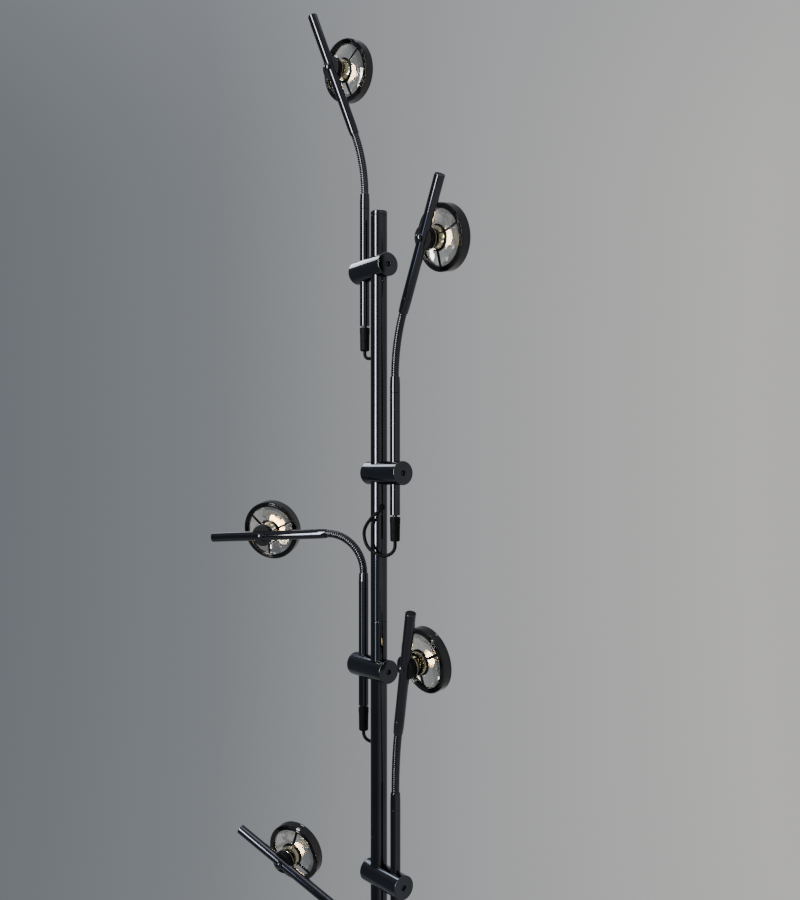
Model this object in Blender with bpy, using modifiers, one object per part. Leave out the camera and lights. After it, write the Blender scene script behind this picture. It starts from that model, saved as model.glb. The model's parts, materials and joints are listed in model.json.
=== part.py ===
"""A floor lamp tree: a thin pole on a round base carries five gooseneck projector arms.

Units are metres and +Z is up. The origin is the centre of the floor pad's underside.
Each arm is a cross clamp on the pole, a stem tube in the clamp, a gooseneck, and a head tube
that carries a lamp socket and a lens in a ring. Arms are numbered from the top down.
"""

import math

import bmesh
import bpy
from mathutils import Matrix, Vector

OBJECT_NAME = "sunset_lamp"

# Fits and tools
SEAT_GAP = 0.0003
OVERRUN = 0.002
MERGE_DISTANCE = 0.00002

# Base and floor pad
BASE_DIAMETER = 0.300
BASE_THICKNESS = 0.015
BASE_EDGE = 0.002
PAD_DIAMETER = 0.290
PAD_THICKNESS = 0.002

# Pole, in three equal lengths with the cap inside the length of the top one
POLE_DIAMETER = 0.020
POLE_WALL = 0.0015
POLE_LENGTH = 0.487
POLE_EDGE = 0.0004
POLE_FOOT_LENGTH = 0.028
CAP_THICKNESS = 0.005
CAP_SPIGOT = 0.012
CAP_EDGE = 0.001
JOINER_LENGTH = 0.060
JOINER_BORE = 0.008

# Bolt that holds the pole's foot to the base from below
BOLT_DIAMETER = 0.010
BOLT_REACH = 0.020
BOLT_HEAD_DIAMETER = 0.020
BOLT_HEAD_HEIGHT = 0.005

# Cable gland low on the back of the pole
GLAND_HEIGHT = 0.050
GLAND_AZIMUTH = 90
GLAND_DIAMETER = 0.011
GLAND_FLANGE = 0.003
GLAND_NECK = 0.008
GLAND_BORE = 0.005
GLAND_INNER_LENGTH = 0.003
GLAND_EDGE = 0.0006

# Cross clamp: a solid cylinder with a pole bore and a stem bore across it
CLAMP_DIAMETER = 0.028
CLAMP_EDGE = 0.0008
BORE_SPACING = 0.032
CLAMP_POLE_END = 0.0198
CLAMP_STEM_END = 0.0160
SCREW_RECESS_DIAMETER = 0.0066
SCREW_RECESS_DEPTH = 0.0015

# Stem tube and head tube, with the ferrule that grips the gooseneck
TUBE_DIAMETER = 0.012
TUBE_BORE = 0.008
TUBE_LENGTH = 0.142
TUBE_EDGE = 0.0004
FERRULE_LENGTH = 0.019
FERRULE_MOUTH = 0.0112
END_WALL = 0.003

# Gooseneck
NECK_DIAMETER = 0.0095
NECK_GROOVE_DEPTH = 0.0004
NECK_BORE = 0.005
NECK_LENGTH = 0.076
NECK_SEAT = 0.0095
NECK_RIBS = 24
GROOVE_SHARE = 1 / 4
CREST_SHARE = 3 / 4
NECK_BORE_POINTS = 7

# Plug under the stem tube
PLUG_DIAMETER = 0.0123
PLUG_TAIL_DIAMETER = 0.0112
PLUG_LENGTH = 0.0285
PLUG_ROUNDING = 0.0022
PLUG_EDGE = 0.0006
PLUG_SHAFT = 0.0053
PLUG_SHAFT_SHOWN = 0.002
PLUG_SHAFT_SEAT = 0.010

# Lead and its grommet in the pole
LEAD_DIAMETER = 0.0040
LEAD_POINT_SPACING = 0.007
GROMMET_DIAMETER = 0.008
GROMMET_FLANGE = 0.0025
GROMMET_EDGE = 0.0006
GROMMET_NECK = 0.006
GROMMET_INNER_LENGTH = 0.0012

# Lamp socket: cap nut, stud, saddle boss and barrel on one axis through the head tube
NUT_DIAMETER = 0.0090
NUT_HEIGHT = 0.0032
NUT_DOME_SHARES = (0.45, 0.85)
STUD_DIAMETER = 0.004
STUD_ROOT = 0.002
BOSS_DIAMETER = 0.027
BOSS_WRAP = 0.001
BOSS_REACH = 0.010
BOSS_EDGE = 0.0006
BARREL_DIAMETER = 0.0265
BARREL_LENGTH = 0.013
LAMP_WELL_DIAMETER = 0.020
LAMP_WELL_DEPTH = 0.007

# Lens ring: rim, hub and three spokes
RING_DIAMETER = 0.0755
RING_WALL = 0.0040
RING_DEPTH = 0.0130
RING_EDGE = 0.0012
RING_STANDOFF = 0.0238
LIP_WIDTH = 0.0022
LIP_DEPTH = 0.0044
HUB_WIDTH = 0.0015
HUB_THICKNESS = 0.0016
HUB_SETBACK = 0.0018
SPOKE_COUNT = 3
SPOKE_WIDTH = 0.0028
SPOKE_THICKNESS = 0.0015
SPOKE_RISE = 0.0045

# Lens: flat at the back, crowned at the front
LENS_EDGE_THICKNESS = 0.006
LENS_CROWN = 0.006
LENS_RINGS = 3

# Where each arm stands and how it is set, by arm number. A clamp's height is a share of the pole's
# height, and its place on the stem a share of the stem tube's length, from the ferrule down.
# Angles are degrees, azimuths from +X.
CLAMP_HEIGHT_SHARES = {1: 0.955, 2: 0.787, 3: 0.627, 4: 0.460, 5: 0.2995}
CLAMP_AZIMUTHS = {1: 124, 2: -53, 3: 127, 4: -52, 5: 127}
STEM_GRIP_SHARES = {1: 0.53, 2: 0.655, 3: 0.655, 4: 0.61, 5: 0.66}
NECK_BENDS = {1: 20, 2: 34.5, 3: 93, 4: 24, 5: 62}
NECK_AZIMUTHS = {1: 164, 2: -65, 3: 160, 4: -78, 5: 155}
HEAD_ROLLS = {1: -118, 2: 107, 3: -102, 4: 117, 5: -101}
SPOKE_TURNS = {1: 38, 2: 6, 3: 12, 4: 16, 5: 48}

# A lead's points: out from the pole towards the stem, sideways, and up from the plug's underside
SHORT_LEAD = [
    (0.0131, 0.0, -0.0100),
    (0.0160, 0.0, -0.0100),
    (0.0230, 0.0, -0.0098),
    (0.0284, 0.0, -0.0082),
    (0.0313, 0.0, -0.0054),
    (0.0320, 0.0, -0.0024),
    (0.0320, 0.0, -0.0004),
]
LOOPED_LEAD = [
    (0.01255, -0.00409, 0.0390),
    (0.0165, -0.0054, 0.0390),
    (0.0169, -0.0118, 0.0352),
    (0.0082, -0.0174, 0.0263),
    (-0.0010, -0.0203, 0.0125),
    (0.0001, -0.0199, -0.0010),
    (0.0062, -0.0175, -0.0100),
    (0.0146, -0.0122, -0.0156),
    (0.0217, -0.0070, -0.0172),
    (0.0282, -0.0025, -0.0140),
    (0.0315, -0.0003, -0.0085),
    (0.0320, 0.0, -0.0035),
    (0.0320, 0.0, -0.0004),
]
LEADS = {1: SHORT_LEAD, 2: LOOPED_LEAD, 3: SHORT_LEAD, 4: LOOPED_LEAD, 5: SHORT_LEAD}

# Facets round each kind of turned piece
BASE_STEPS = 48
FINE_STEPS = 24
POLE_STEPS = 16
TUBE_STEPS = 12
SMALL_STEPS = 10
CURVE_SAMPLES = 24

UP = Vector((0, 0, 1))

# Heights that follow from the sizes above
BASE_BOTTOM = PAD_THICKNESS + SEAT_GAP
BASE_TOP = BASE_BOTTOM + BASE_THICKNESS
POLE_BOTTOM = BASE_TOP + SEAT_GAP
POLE_TUBES = ("pole_lower", "pole_middle", "pole_upper")
POLE_HEIGHT = POLE_LENGTH * len(POLE_TUBES)
ARM_NUMBERS = tuple(CLAMP_AZIMUTHS)


def direction(azimuth):
    """Level unit vector at an azimuth in degrees from +X."""
    turn = math.radians(azimuth)
    return Vector((math.cos(turn), math.sin(turn), 0))


def axes(origin, z_axis, y_axis=None):
    """Placement matrix with a given Z axis, and Y axis where it matters."""
    z_axis = z_axis.normalized()
    if y_axis is None:
        y_axis = z_axis.orthogonal()
    x_axis = y_axis.cross(z_axis).normalized()
    y_axis = z_axis.cross(x_axis)
    turn = Matrix((x_axis, y_axis, z_axis)).transposed().to_4x4()
    return Matrix.Translation(origin) @ turn


class Workshop:
    """Collections, materials and the modelling steps that every piece shares."""

    def __init__(self):
        for old in list(bpy.data.objects):
            bpy.data.objects.remove(old)
        self.pieces = self.collection(OBJECT_NAME)
        self.cutters = self.collection("cutters")
        self.materials = {}

    def collection(self, name):
        made = bpy.data.collections.new(name)
        bpy.context.scene.collection.children.link(made)
        return made

    def material(self, name, colour, roughness, metallic, glass=0):
        made = bpy.data.materials.new(name)
        made.use_nodes = True
        shader = made.node_tree.nodes["Principled BSDF"]
        shader.inputs["Base Color"].default_value = (*colour, 1)
        shader.inputs["Roughness"].default_value = roughness
        shader.inputs["Metallic"].default_value = metallic
        shader.inputs["Transmission Weight"].default_value = glass
        self.materials[name] = made

    def add(self, name, data, material, placement):
        """Link a piece with a material of its own kind."""
        piece = bpy.data.objects.new(name, data)
        self.pieces.objects.link(piece)
        own = self.materials[material].copy()
        own.name = f"{name}_{material}"
        data.materials.append(own)
        piece.matrix_world = placement
        return piece

    def hide(self, piece):
        """Keep a cutter or a joined shape out of the model."""
        self.pieces.objects.unlink(piece)
        self.cutters.objects.link(piece)
        piece.hide_render = True
        piece.display_type = "WIRE"
        return piece

    def turned(self, name, profile, steps, material, placement, ring=False):
        """Turn a profile of (radius, height) about Z. A ring's profile is a closed loop."""
        mesh = bpy.data.meshes.new(name)
        points = [(radius, 0, height) for radius, height in profile]
        edges = [(index, index + 1) for index in range(len(points) - 1)]
        if ring:
            edges.append((len(points) - 1, 0))
        mesh.from_pydata(points, edges, [])
        piece = self.add(name, mesh, material, placement)
        screw = piece.modifiers.new("turn", "SCREW")
        screw.steps = steps
        screw.render_steps = steps
        screw.use_merge_vertices = True
        screw.merge_threshold = MERGE_DISTANCE
        screw.use_smooth_shade = True
        return piece

    def rod(self, name, diameter, length, steps, material, placement):
        """A plain cylinder from its origin along its own Z."""
        mesh = bpy.data.meshes.new(name)
        shape = bmesh.new()
        bmesh.ops.create_cone(
            shape,
            cap_ends=True,
            segments=steps,
            radius1=diameter / 2,
            radius2=diameter / 2,
            depth=length,
            matrix=Matrix.Translation(UP * length / 2),
        )
        shape.to_mesh(mesh)
        shape.free()
        return self.add(name, mesh, material, placement)

    def swept(self, name, origin, points, factors, diameter, material):
        """A tube along world points, with the bevel radius scaled by a factor at each point."""
        curve = bpy.data.curves.new(name, "CURVE")
        curve.dimensions = "3D"
        curve.bevel_depth = diameter / 2
        curve.bevel_resolution = 2
        curve.use_fill_caps = True
        spline = curve.splines.new("POLY")
        spline.points.add(len(points) - 1)
        for knot, point, factor in zip(spline.points, points, factors):
            knot.co = (*(point - origin), 1)
            knot.radius = factor
        return self.add(name, curve, material, Matrix.Translation(origin))

    def as_mesh(self, piece):
        """Replace a curve object by a welded mesh object of the same name and material."""
        bpy.context.view_layer.update()
        name = piece.name
        evaluated = piece.evaluated_get(bpy.context.evaluated_depsgraph_get())
        mesh = bpy.data.meshes.new_from_object(evaluated)
        shape = bmesh.new()
        shape.from_mesh(mesh)
        bmesh.ops.remove_doubles(shape, verts=shape.verts, dist=MERGE_DISTANCE)
        shape.to_mesh(mesh)
        shape.free()
        placement = piece.matrix_world.copy()
        bpy.data.objects.remove(piece)
        welded = bpy.data.objects.new(name, mesh)
        self.pieces.objects.link(welded)
        welded.matrix_world = placement
        return welded

    def boolean(self, piece, other, operation="DIFFERENCE"):
        """Cut a piece with another shape, or join the shape to it."""
        step = piece.modifiers.new(other.name, "BOOLEAN")
        step.operation = operation
        step.solver = "EXACT"
        step.object = self.hide(other)

    def bevel(self, piece, width):
        """Chamfer the sharp edges of a piece."""
        step = piece.modifiers.new("edges", "BEVEL")
        step.width = width
        step.segments = 1
        step.limit_method = "ANGLE"

    def carry(self, name, centre, pieces):
        """Parent pieces to an empty on their joint's axis."""
        pivot = bpy.data.objects.new(name, None)
        self.pieces.objects.link(pivot)
        pivot.matrix_world = Matrix.Translation(centre)
        for piece in pieces:
            piece.parent = pivot
            piece.matrix_parent_inverse = Matrix.Translation(-centre)
        return pivot


class Arm:
    """The places and directions of one arm at rest."""

    def __init__(self, number):
        self.number = number
        self.outward = direction(CLAMP_AZIMUTHS[number])
        self.sideways = UP.cross(self.outward)
        self.clamp_centre = UP * (POLE_BOTTOM + POLE_HEIGHT * CLAMP_HEIGHT_SHARES[number])
        self.stem_axis = self.outward * BORE_SPACING
        reach = FERRULE_LENGTH + TUBE_LENGTH * STEM_GRIP_SHARES[number]
        self.neck_start = self.stem_axis + self.clamp_centre + UP * reach
        self.bend = math.radians(NECK_BENDS[number])
        self.bend_direction = direction(NECK_AZIMUTHS[number])
        self.neck_end = self.neck_point(NECK_LENGTH)
        self.neck_middle = self.neck_point(NECK_LENGTH / 2)
        self.head_direction = self.neck_tangent(NECK_LENGTH)
        in_plane = self.bend_direction * math.cos(self.bend) - UP * math.sin(self.bend)
        across = self.head_direction.cross(in_plane)
        roll = math.radians(HEAD_ROLLS[number])
        self.beam = in_plane * math.cos(roll) + across * math.sin(roll)
        self.head_centre = self.neck_end + self.head_direction * (FERRULE_LENGTH + TUBE_LENGTH / 2)
        self.plug_bottom = (
            self.neck_start - UP * (FERRULE_LENGTH + TUBE_LENGTH + PLUG_SHAFT_SHOWN + PLUG_LENGTH)
        )

    def neck_point(self, distance):
        """Point on the gooseneck's arc, a distance along it from the stem's ferrule."""
        radius = NECK_LENGTH / self.bend
        turn = distance / radius
        across = self.bend_direction * radius * (1 - math.cos(turn))
        return self.neck_start + across + UP * radius * math.sin(turn)

    def neck_tangent(self, distance):
        turn = self.bend * distance / NECK_LENGTH
        return self.bend_direction * math.sin(turn) + UP * math.cos(turn)

    def head_axes(self):
        """Lamp axis along Z and the head tube along Y, from where the two cross."""
        return axes(self.head_centre, self.beam, self.head_direction)

    def lead_points(self):
        """The lead's route in world places."""
        foot = Vector((0, 0, self.plug_bottom.z))
        return [
            foot + self.outward * out + self.sideways * side + UP * up
            for out, side, up in LEADS[self.number]
        ]


def smooth_route(points, spacing):
    """Evenly spaced points on a smooth curve through hand-placed ones, with straight ends."""
    fine = []
    for index in range(len(points) - 3):
        before, start, end, after = points[index:index + 4]
        for step in range(CURVE_SAMPLES):
            t = step / CURVE_SAMPLES
            fine.append(
                (
                    start * 2
                    + (end - before) * t
                    + (before * 2 - start * 5 + end * 4 - after) * t ** 2
                    + (start * 3 - before - end * 3 + after) * t ** 3
                )
                / 2
            )
    fine.append(points[-2])
    lengths = [0]
    for first, second in zip(fine, fine[1:]):
        lengths.append(lengths[-1] + (second - first).length)
    total = lengths[-1]
    count = max(3, round(total / spacing) + 1)
    even = []
    for number in range(count):
        wanted = total * number / (count - 1)
        index = next((i for i, length in enumerate(lengths) if length >= wanted), len(fine) - 1)
        even.append(fine[index])
    route = [points[0]] + even + [points[-1]]
    return route, total + (points[1] - points[0]).length + (points[-1] - points[-2]).length


def ferrule_outside():
    """Outer side of a ferrule and its tube, from the gooseneck's mouth at zero down to the end."""
    outer = TUBE_DIAMETER / 2
    length = FERRULE_LENGTH + TUBE_LENGTH
    return [
        (FERRULE_MOUTH / 2 - SEAT_GAP, 0),
        (FERRULE_MOUTH / 2, -SEAT_GAP),
        (outer, -FERRULE_LENGTH),
        (outer, -length + TUBE_EDGE),
        (outer - TUBE_EDGE, -length),
    ]


def ferrule_mouth():
    """The socket that the gooseneck's end sits in, from the tube's bore up to the mouth."""
    socket = NECK_DIAMETER / 2 + SEAT_GAP
    depth = NECK_SEAT + SEAT_GAP
    return [(TUBE_BORE / 2, -depth), (socket, -depth), (socket, 0)]


def build_base(shop):
    """Base plate on its floor pad, and the bolt that holds the pole's foot."""
    floor = Matrix.Identity(4)
    shop.rod("floor_pad", PAD_DIAMETER, PAD_THICKNESS, FINE_STEPS, "pad_foam", floor)
    place = Matrix.Translation(UP * BASE_BOTTOM)
    base = shop.rod("base_plate", BASE_DIAMETER, BASE_THICKNESS, BASE_STEPS, "black_nickel", place)
    shop.bevel(base, BASE_EDGE)
    bolt_radius = BOLT_DIAMETER / 2
    head_radius = BOLT_HEAD_DIAMETER / 2
    hole = [
        (0, BASE_THICKNESS + OVERRUN),
        (bolt_radius + SEAT_GAP, BASE_THICKNESS + OVERRUN),
        (bolt_radius + SEAT_GAP, BOLT_HEAD_HEIGHT + SEAT_GAP),
        (head_radius + SEAT_GAP, BOLT_HEAD_HEIGHT + SEAT_GAP),
        (head_radius + SEAT_GAP, -OVERRUN),
        (0, -OVERRUN),
    ]
    shop.boolean(base, shop.turned("bolt_hole", hole, TUBE_STEPS, "steel", place))
    bolt_length = BASE_THICKNESS + SEAT_GAP + BOLT_REACH
    bolt = [
        (0, bolt_length),
        (bolt_radius, bolt_length),
        (bolt_radius, BOLT_HEAD_HEIGHT),
        (head_radius, BOLT_HEAD_HEIGHT),
        (head_radius, 0),
        (0, 0),
    ]
    shop.turned("foot_bolt", bolt, TUBE_STEPS, "steel", place)


def pole_hole(shop, pole, name, diameter, height, outward):
    """Round hole through the near wall of a pole tube."""
    place = axes(UP * height, outward)
    cutter = shop.rod(name, diameter, POLE_DIAMETER / 2 + OVERRUN, SMALL_STEPS, "steel", place)
    shop.boolean(pole, cutter)


def build_pole(shop, arms):
    """Three tubes with the joiners inside their seams, the cap, and the gland and grommets."""
    outer = POLE_DIAMETER / 2
    inner = outer - POLE_WALL
    bolt_bore = BOLT_DIAMETER / 2 + SEAT_GAP
    tubes = []
    bottom = POLE_BOTTOM
    for name in POLE_TUBES:
        length = POLE_LENGTH - SEAT_GAP
        if name == "pole_upper":
            length = POLE_LENGTH - CAP_THICKNESS - SEAT_GAP
        outside = [
            (outer - POLE_EDGE, length),
            (outer, length - POLE_EDGE),
            (outer, POLE_EDGE),
            (outer - POLE_EDGE, 0),
        ]
        inside = [(inner, 0), (inner, length)]
        if name == "pole_lower":
            inside = [(bolt_bore, 0), (bolt_bore, POLE_FOOT_LENGTH), (inner, POLE_FOOT_LENGTH),
                      (inner, length)]
        place = Matrix.Translation(UP * bottom)
        tube = shop.turned(name, outside + inside, POLE_STEPS, "black_nickel", place, ring=True)
        tubes.append((tube, bottom + length / 2))
        bottom += POLE_LENGTH
    joiner_radius = inner - SEAT_GAP
    for name, seam in (("joiner_lower", 1), ("joiner_upper", 2)):
        half = JOINER_LENGTH / 2
        bore = JOINER_BORE / 2
        loop = [(joiner_radius, half), (joiner_radius, -half), (bore, -half), (bore, half)]
        place = Matrix.Translation(UP * (POLE_BOTTOM + seam * POLE_LENGTH))
        shop.turned(name, loop, TUBE_STEPS, "steel", place, ring=True)
    cap_bottom = bottom - CAP_THICKNESS
    cap = [
        (0, CAP_THICKNESS),
        (outer - CAP_EDGE, CAP_THICKNESS),
        (outer, CAP_THICKNESS - CAP_EDGE),
        (outer, POLE_EDGE),
        (outer - POLE_EDGE, 0),
        (joiner_radius, 0),
        (joiner_radius, -CAP_SPIGOT),
        (0, -CAP_SPIGOT),
    ]
    shop.turned("pole_cap", cap, POLE_STEPS, "black_nickel", Matrix.Translation(UP * cap_bottom))
    build_gland(shop, tubes[0][0])
    for arm in arms:
        start = arm.lead_points()[0]
        level = Vector((start.x, start.y, 0)).normalized()
        tube = min(tubes, key=lambda entry: abs(entry[1] - start.z))[0]
        width = GROMMET_NECK + 2 * SEAT_GAP
        pole_hole(shop, tube, f"grommet_hole_{arm.number}", width, start.z, level)
        build_grommet(shop, arm.number, UP * start.z, level)


def build_gland(shop, pole):
    """Open gland for a cord, through the back of the lower pole."""
    outward = direction(GLAND_AZIMUTH)
    height = BASE_TOP + GLAND_HEIGHT
    face = POLE_DIAMETER / 2 + SEAT_GAP
    inside = face - POLE_WALL - GLAND_INNER_LENGTH
    bore = GLAND_BORE / 2
    loop = [
        (GLAND_DIAMETER / 2 - GLAND_EDGE, face + GLAND_FLANGE),
        (GLAND_DIAMETER / 2, face + GLAND_FLANGE - GLAND_EDGE),
        (GLAND_DIAMETER / 2, face),
        (GLAND_NECK / 2, face),
        (GLAND_NECK / 2, inside),
        (bore, inside),
        (bore, face + GLAND_FLANGE),
    ]
    shop.turned("cable_gland", loop, TUBE_STEPS, "black_rubber", axes(UP * height, outward), ring=True)
    pole_hole(shop, pole, "gland_hole", GLAND_NECK + 2 * SEAT_GAP, height, outward)


def build_grommet(shop, number, centre, outward):
    """Rubber grommet that closes the pole's hole round a lead."""
    face = POLE_DIAMETER / 2 + SEAT_GAP
    inside = face - POLE_WALL - GROMMET_INNER_LENGTH
    profile = [
        (0, face + GROMMET_FLANGE),
        (GROMMET_DIAMETER / 2 - GROMMET_EDGE, face + GROMMET_FLANGE),
        (GROMMET_DIAMETER / 2, face + GROMMET_FLANGE - GROMMET_EDGE),
        (GROMMET_DIAMETER / 2, face),
        (GROMMET_NECK / 2, face),
        (GROMMET_NECK / 2, inside),
        (0, inside),
    ]
    shop.turned(f"grommet_{number}", profile, SMALL_STEPS, "black_rubber", axes(centre, outward))


def build_clamp(shop, arm):
    """Solid cross clamp with its two bores and a set screw socket in each end."""
    number = arm.number
    start = arm.clamp_centre - arm.outward * CLAMP_POLE_END
    length = CLAMP_POLE_END + BORE_SPACING + CLAMP_STEM_END
    place = axes(start, arm.outward, UP)
    clamp = shop.rod(f"clamp_{number}", CLAMP_DIAMETER, length, FINE_STEPS, "black_nickel", place)
    shop.bevel(clamp, CLAMP_EDGE)
    arm.swing_axis = shop.carry(f"swing_axis_{number}", arm.clamp_centre, [clamp])
    low = -UP * (CLAMP_DIAMETER / 2 + OVERRUN)
    height = CLAMP_DIAMETER + 2 * OVERRUN
    for kind, centre, diameter, steps in (
        ("pole_bore", arm.clamp_centre, POLE_DIAMETER, POLE_STEPS),
        ("stem_bore", arm.clamp_centre + arm.stem_axis, TUBE_DIAMETER, TUBE_STEPS),
    ):
        place = Matrix.Translation(centre + low)
        bore = shop.rod(f"{kind}_{number}", diameter + 2 * SEAT_GAP, height, steps, "steel", place)
        shop.boolean(clamp, bore)
    for kind, face, inward in (
        ("pole_screw", start, arm.outward),
        ("stem_screw", start + arm.outward * length, -arm.outward),
    ):
        name = f"{kind}_recess_{number}"
        depth = SCREW_RECESS_DEPTH + OVERRUN
        place = axes(face - inward * OVERRUN, inward, UP)
        recess = shop.rod(name, SCREW_RECESS_DIAMETER, depth, SMALL_STEPS, "steel", place)
        shop.boolean(clamp, recess)


def build_stem(shop, arm):
    """Stem tube in the clamp, its plug, and the lead from the plug to the pole."""
    number = arm.number
    jack = PLUG_SHAFT / 2 + SEAT_GAP
    bore = TUBE_BORE / 2
    tube_bottom = -FERRULE_LENGTH - TUBE_LENGTH
    jack_top = tube_bottom + PLUG_SHAFT_SEAT + OVERRUN
    throat = [(jack, tube_bottom), (jack, jack_top), (bore, jack_top)]
    loop = ferrule_outside() + throat + ferrule_mouth()
    place = Matrix.Translation(arm.neck_start)
    tube = shop.turned(f"stem_tube_{number}", loop, TUBE_STEPS, "black_nickel", place, ring=True)
    body_top = PLUG_LENGTH
    shaft_top = body_top + PLUG_SHAFT_SHOWN + PLUG_SHAFT_SEAT
    shaft = PLUG_SHAFT / 2
    tail = PLUG_TAIL_DIAMETER / 2
    nose = PLUG_DIAMETER / 2
    profile = [
        (0, shaft_top),
        (shaft, shaft_top),
        (shaft, body_top),
        (nose - PLUG_EDGE, body_top),
        (nose, body_top - PLUG_EDGE),
        (tail, PLUG_ROUNDING),
        (tail - PLUG_ROUNDING, 0),
        (0, 0),
    ]
    place = Matrix.Translation(arm.plug_bottom)
    plug = shop.turned(f"plug_{number}", profile, SMALL_STEPS, "black_rubber", place)
    points, length = smooth_route(arm.lead_points(), LEAD_POINT_SPACING)
    lead = shop.swept(
        f"lead_{number}", arm.plug_bottom, points, [1] * len(points), LEAD_DIAMETER, "black_rubber"
    )
    print(f"lead {number}: {length:.4f} m")
    arm.stem_pivot = shop.carry(f"stem_axis_{number}", arm.neck_start, [tube, plug, lead])
    arm.stem_pivot.parent = arm.swing_axis
    arm.stem_pivot.matrix_parent_inverse = Matrix.Translation(-arm.clamp_centre)


def build_gooseneck(shop, arm):
    """Ribbed tube on the arm's arc, with a straight seat in each ferrule and an open bore."""
    name = f"gooseneck_{arm.number}"
    groove = 1 - 2 * NECK_GROOVE_DEPTH / NECK_DIAMETER
    points = [arm.neck_start - UP * NECK_SEAT]
    factors = [groove]
    for rib in range(NECK_RIBS):
        for share, factor in ((GROOVE_SHARE, groove), (CREST_SHARE, 1)):
            points.append(arm.neck_point(NECK_LENGTH * (rib + share) / NECK_RIBS))
            factors.append(factor)
    points.append(arm.neck_end + arm.head_direction * NECK_SEAT)
    factors.append(groove)
    origin = arm.neck_start
    hose = shop.as_mesh(shop.swept(name, origin, points, factors, NECK_DIAMETER, "black_chrome"))
    hose.parent = arm.stem_pivot
    hose.matrix_parent_inverse = Matrix.Translation(-arm.neck_start)
    past = NECK_SEAT + OVERRUN
    line = [arm.neck_start - UP * past]
    for step in range(NECK_BORE_POINTS):
        line.append(arm.neck_point(NECK_LENGTH * step / (NECK_BORE_POINTS - 1)))
    line.append(arm.neck_end + arm.head_direction * past)
    bore = shop.swept(f"neck_bore_{arm.number}", origin, line, [1] * len(line), NECK_BORE, "steel")
    shop.boolean(hose, shop.as_mesh(bore))


def build_head(shop, arm):
    """Head tube, lamp socket, lens ring and lens, carried by an empty on the bend axis."""
    pieces = [
        build_head_tube(shop, arm),
        build_lamp_socket(shop, arm),
        build_lens_ring(shop, arm),
        build_lens(shop, arm),
    ]
    pivot = shop.carry(f"bend_axis_{arm.number}", arm.neck_middle, pieces)
    pivot.parent = arm.stem_pivot
    pivot.matrix_parent_inverse = Matrix.Translation(-arm.neck_start)


def build_head_tube(shop, arm):
    """Closed tube with its ferrule on the gooseneck and a cross hole for the socket's stud."""
    tube_end = -FERRULE_LENGTH - TUBE_LENGTH
    floor = [(0, tube_end + END_WALL), (TUBE_BORE / 2, tube_end + END_WALL)]
    profile = floor + ferrule_mouth() + ferrule_outside() + [(0, tube_end)]
    place = axes(arm.neck_end, -arm.head_direction)
    name = f"head_tube_{arm.number}"
    tube = shop.turned(name, profile, TUBE_STEPS, "black_nickel", place)
    reach = TUBE_DIAMETER / 2 + OVERRUN
    width = STUD_DIAMETER + 2 * SEAT_GAP
    start = arm.head_centre - arm.beam * reach
    place = axes(start, arm.beam)
    hole = shop.rod(f"stud_hole_{arm.number}", width, 2 * reach, SMALL_STEPS, "steel", place)
    shop.boolean(tube, hole)
    return tube


def build_lamp_socket(shop, arm):
    """Barrel and saddle boss behind the head tube, held by a stud and cap nut, as one solid."""
    seat = TUBE_DIAMETER / 2 + SEAT_GAP
    barrel_top = BOSS_REACH + BARREL_LENGTH
    well = LAMP_WELL_DIAMETER / 2
    barrel = BARREL_DIAMETER / 2
    boss = BOSS_DIAMETER / 2
    stud = STUD_DIAMETER / 2
    nut = NUT_DIAMETER / 2
    profile = [
        (0, barrel_top - LAMP_WELL_DEPTH),
        (well, barrel_top - LAMP_WELL_DEPTH),
        (well, barrel_top),
        (barrel, barrel_top),
        (barrel, BOSS_REACH),
        (boss - BOSS_EDGE, BOSS_REACH),
        (boss, BOSS_REACH - BOSS_EDGE),
        (boss, BOSS_EDGE - BOSS_WRAP),
        (boss - BOSS_EDGE, -BOSS_WRAP),
        (0, -BOSS_WRAP),
    ]
    number = arm.number
    place = arm.head_axes()
    name = f"lamp_socket_{number}"
    socket = shop.turned(name, profile, TUBE_STEPS, "polished_nickel", place)
    groove_start = arm.head_centre + arm.head_direction * (boss + OVERRUN)
    groove_place = axes(groove_start, -arm.head_direction)
    length = 2 * (boss + OVERRUN)
    groove = shop.rod(f"groove_{number}", 2 * seat, length, TUBE_STEPS, "steel", groove_place)
    shop.boolean(socket, groove)
    fastener = [(0, seat + STUD_ROOT), (stud, seat + STUD_ROOT), (stud, -seat), (nut, -seat)]
    for share in NUT_DOME_SHARES:
        dome = math.sqrt(1 - share ** 2)
        fastener.append((nut * dome, -seat - NUT_HEIGHT * share))
    fastener.append((0, -seat - NUT_HEIGHT))
    screw = shop.turned(f"stud_{number}", fastener, TUBE_STEPS, "polished_nickel", place)
    shop.boolean(socket, screw, "UNION")
    return socket


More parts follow.
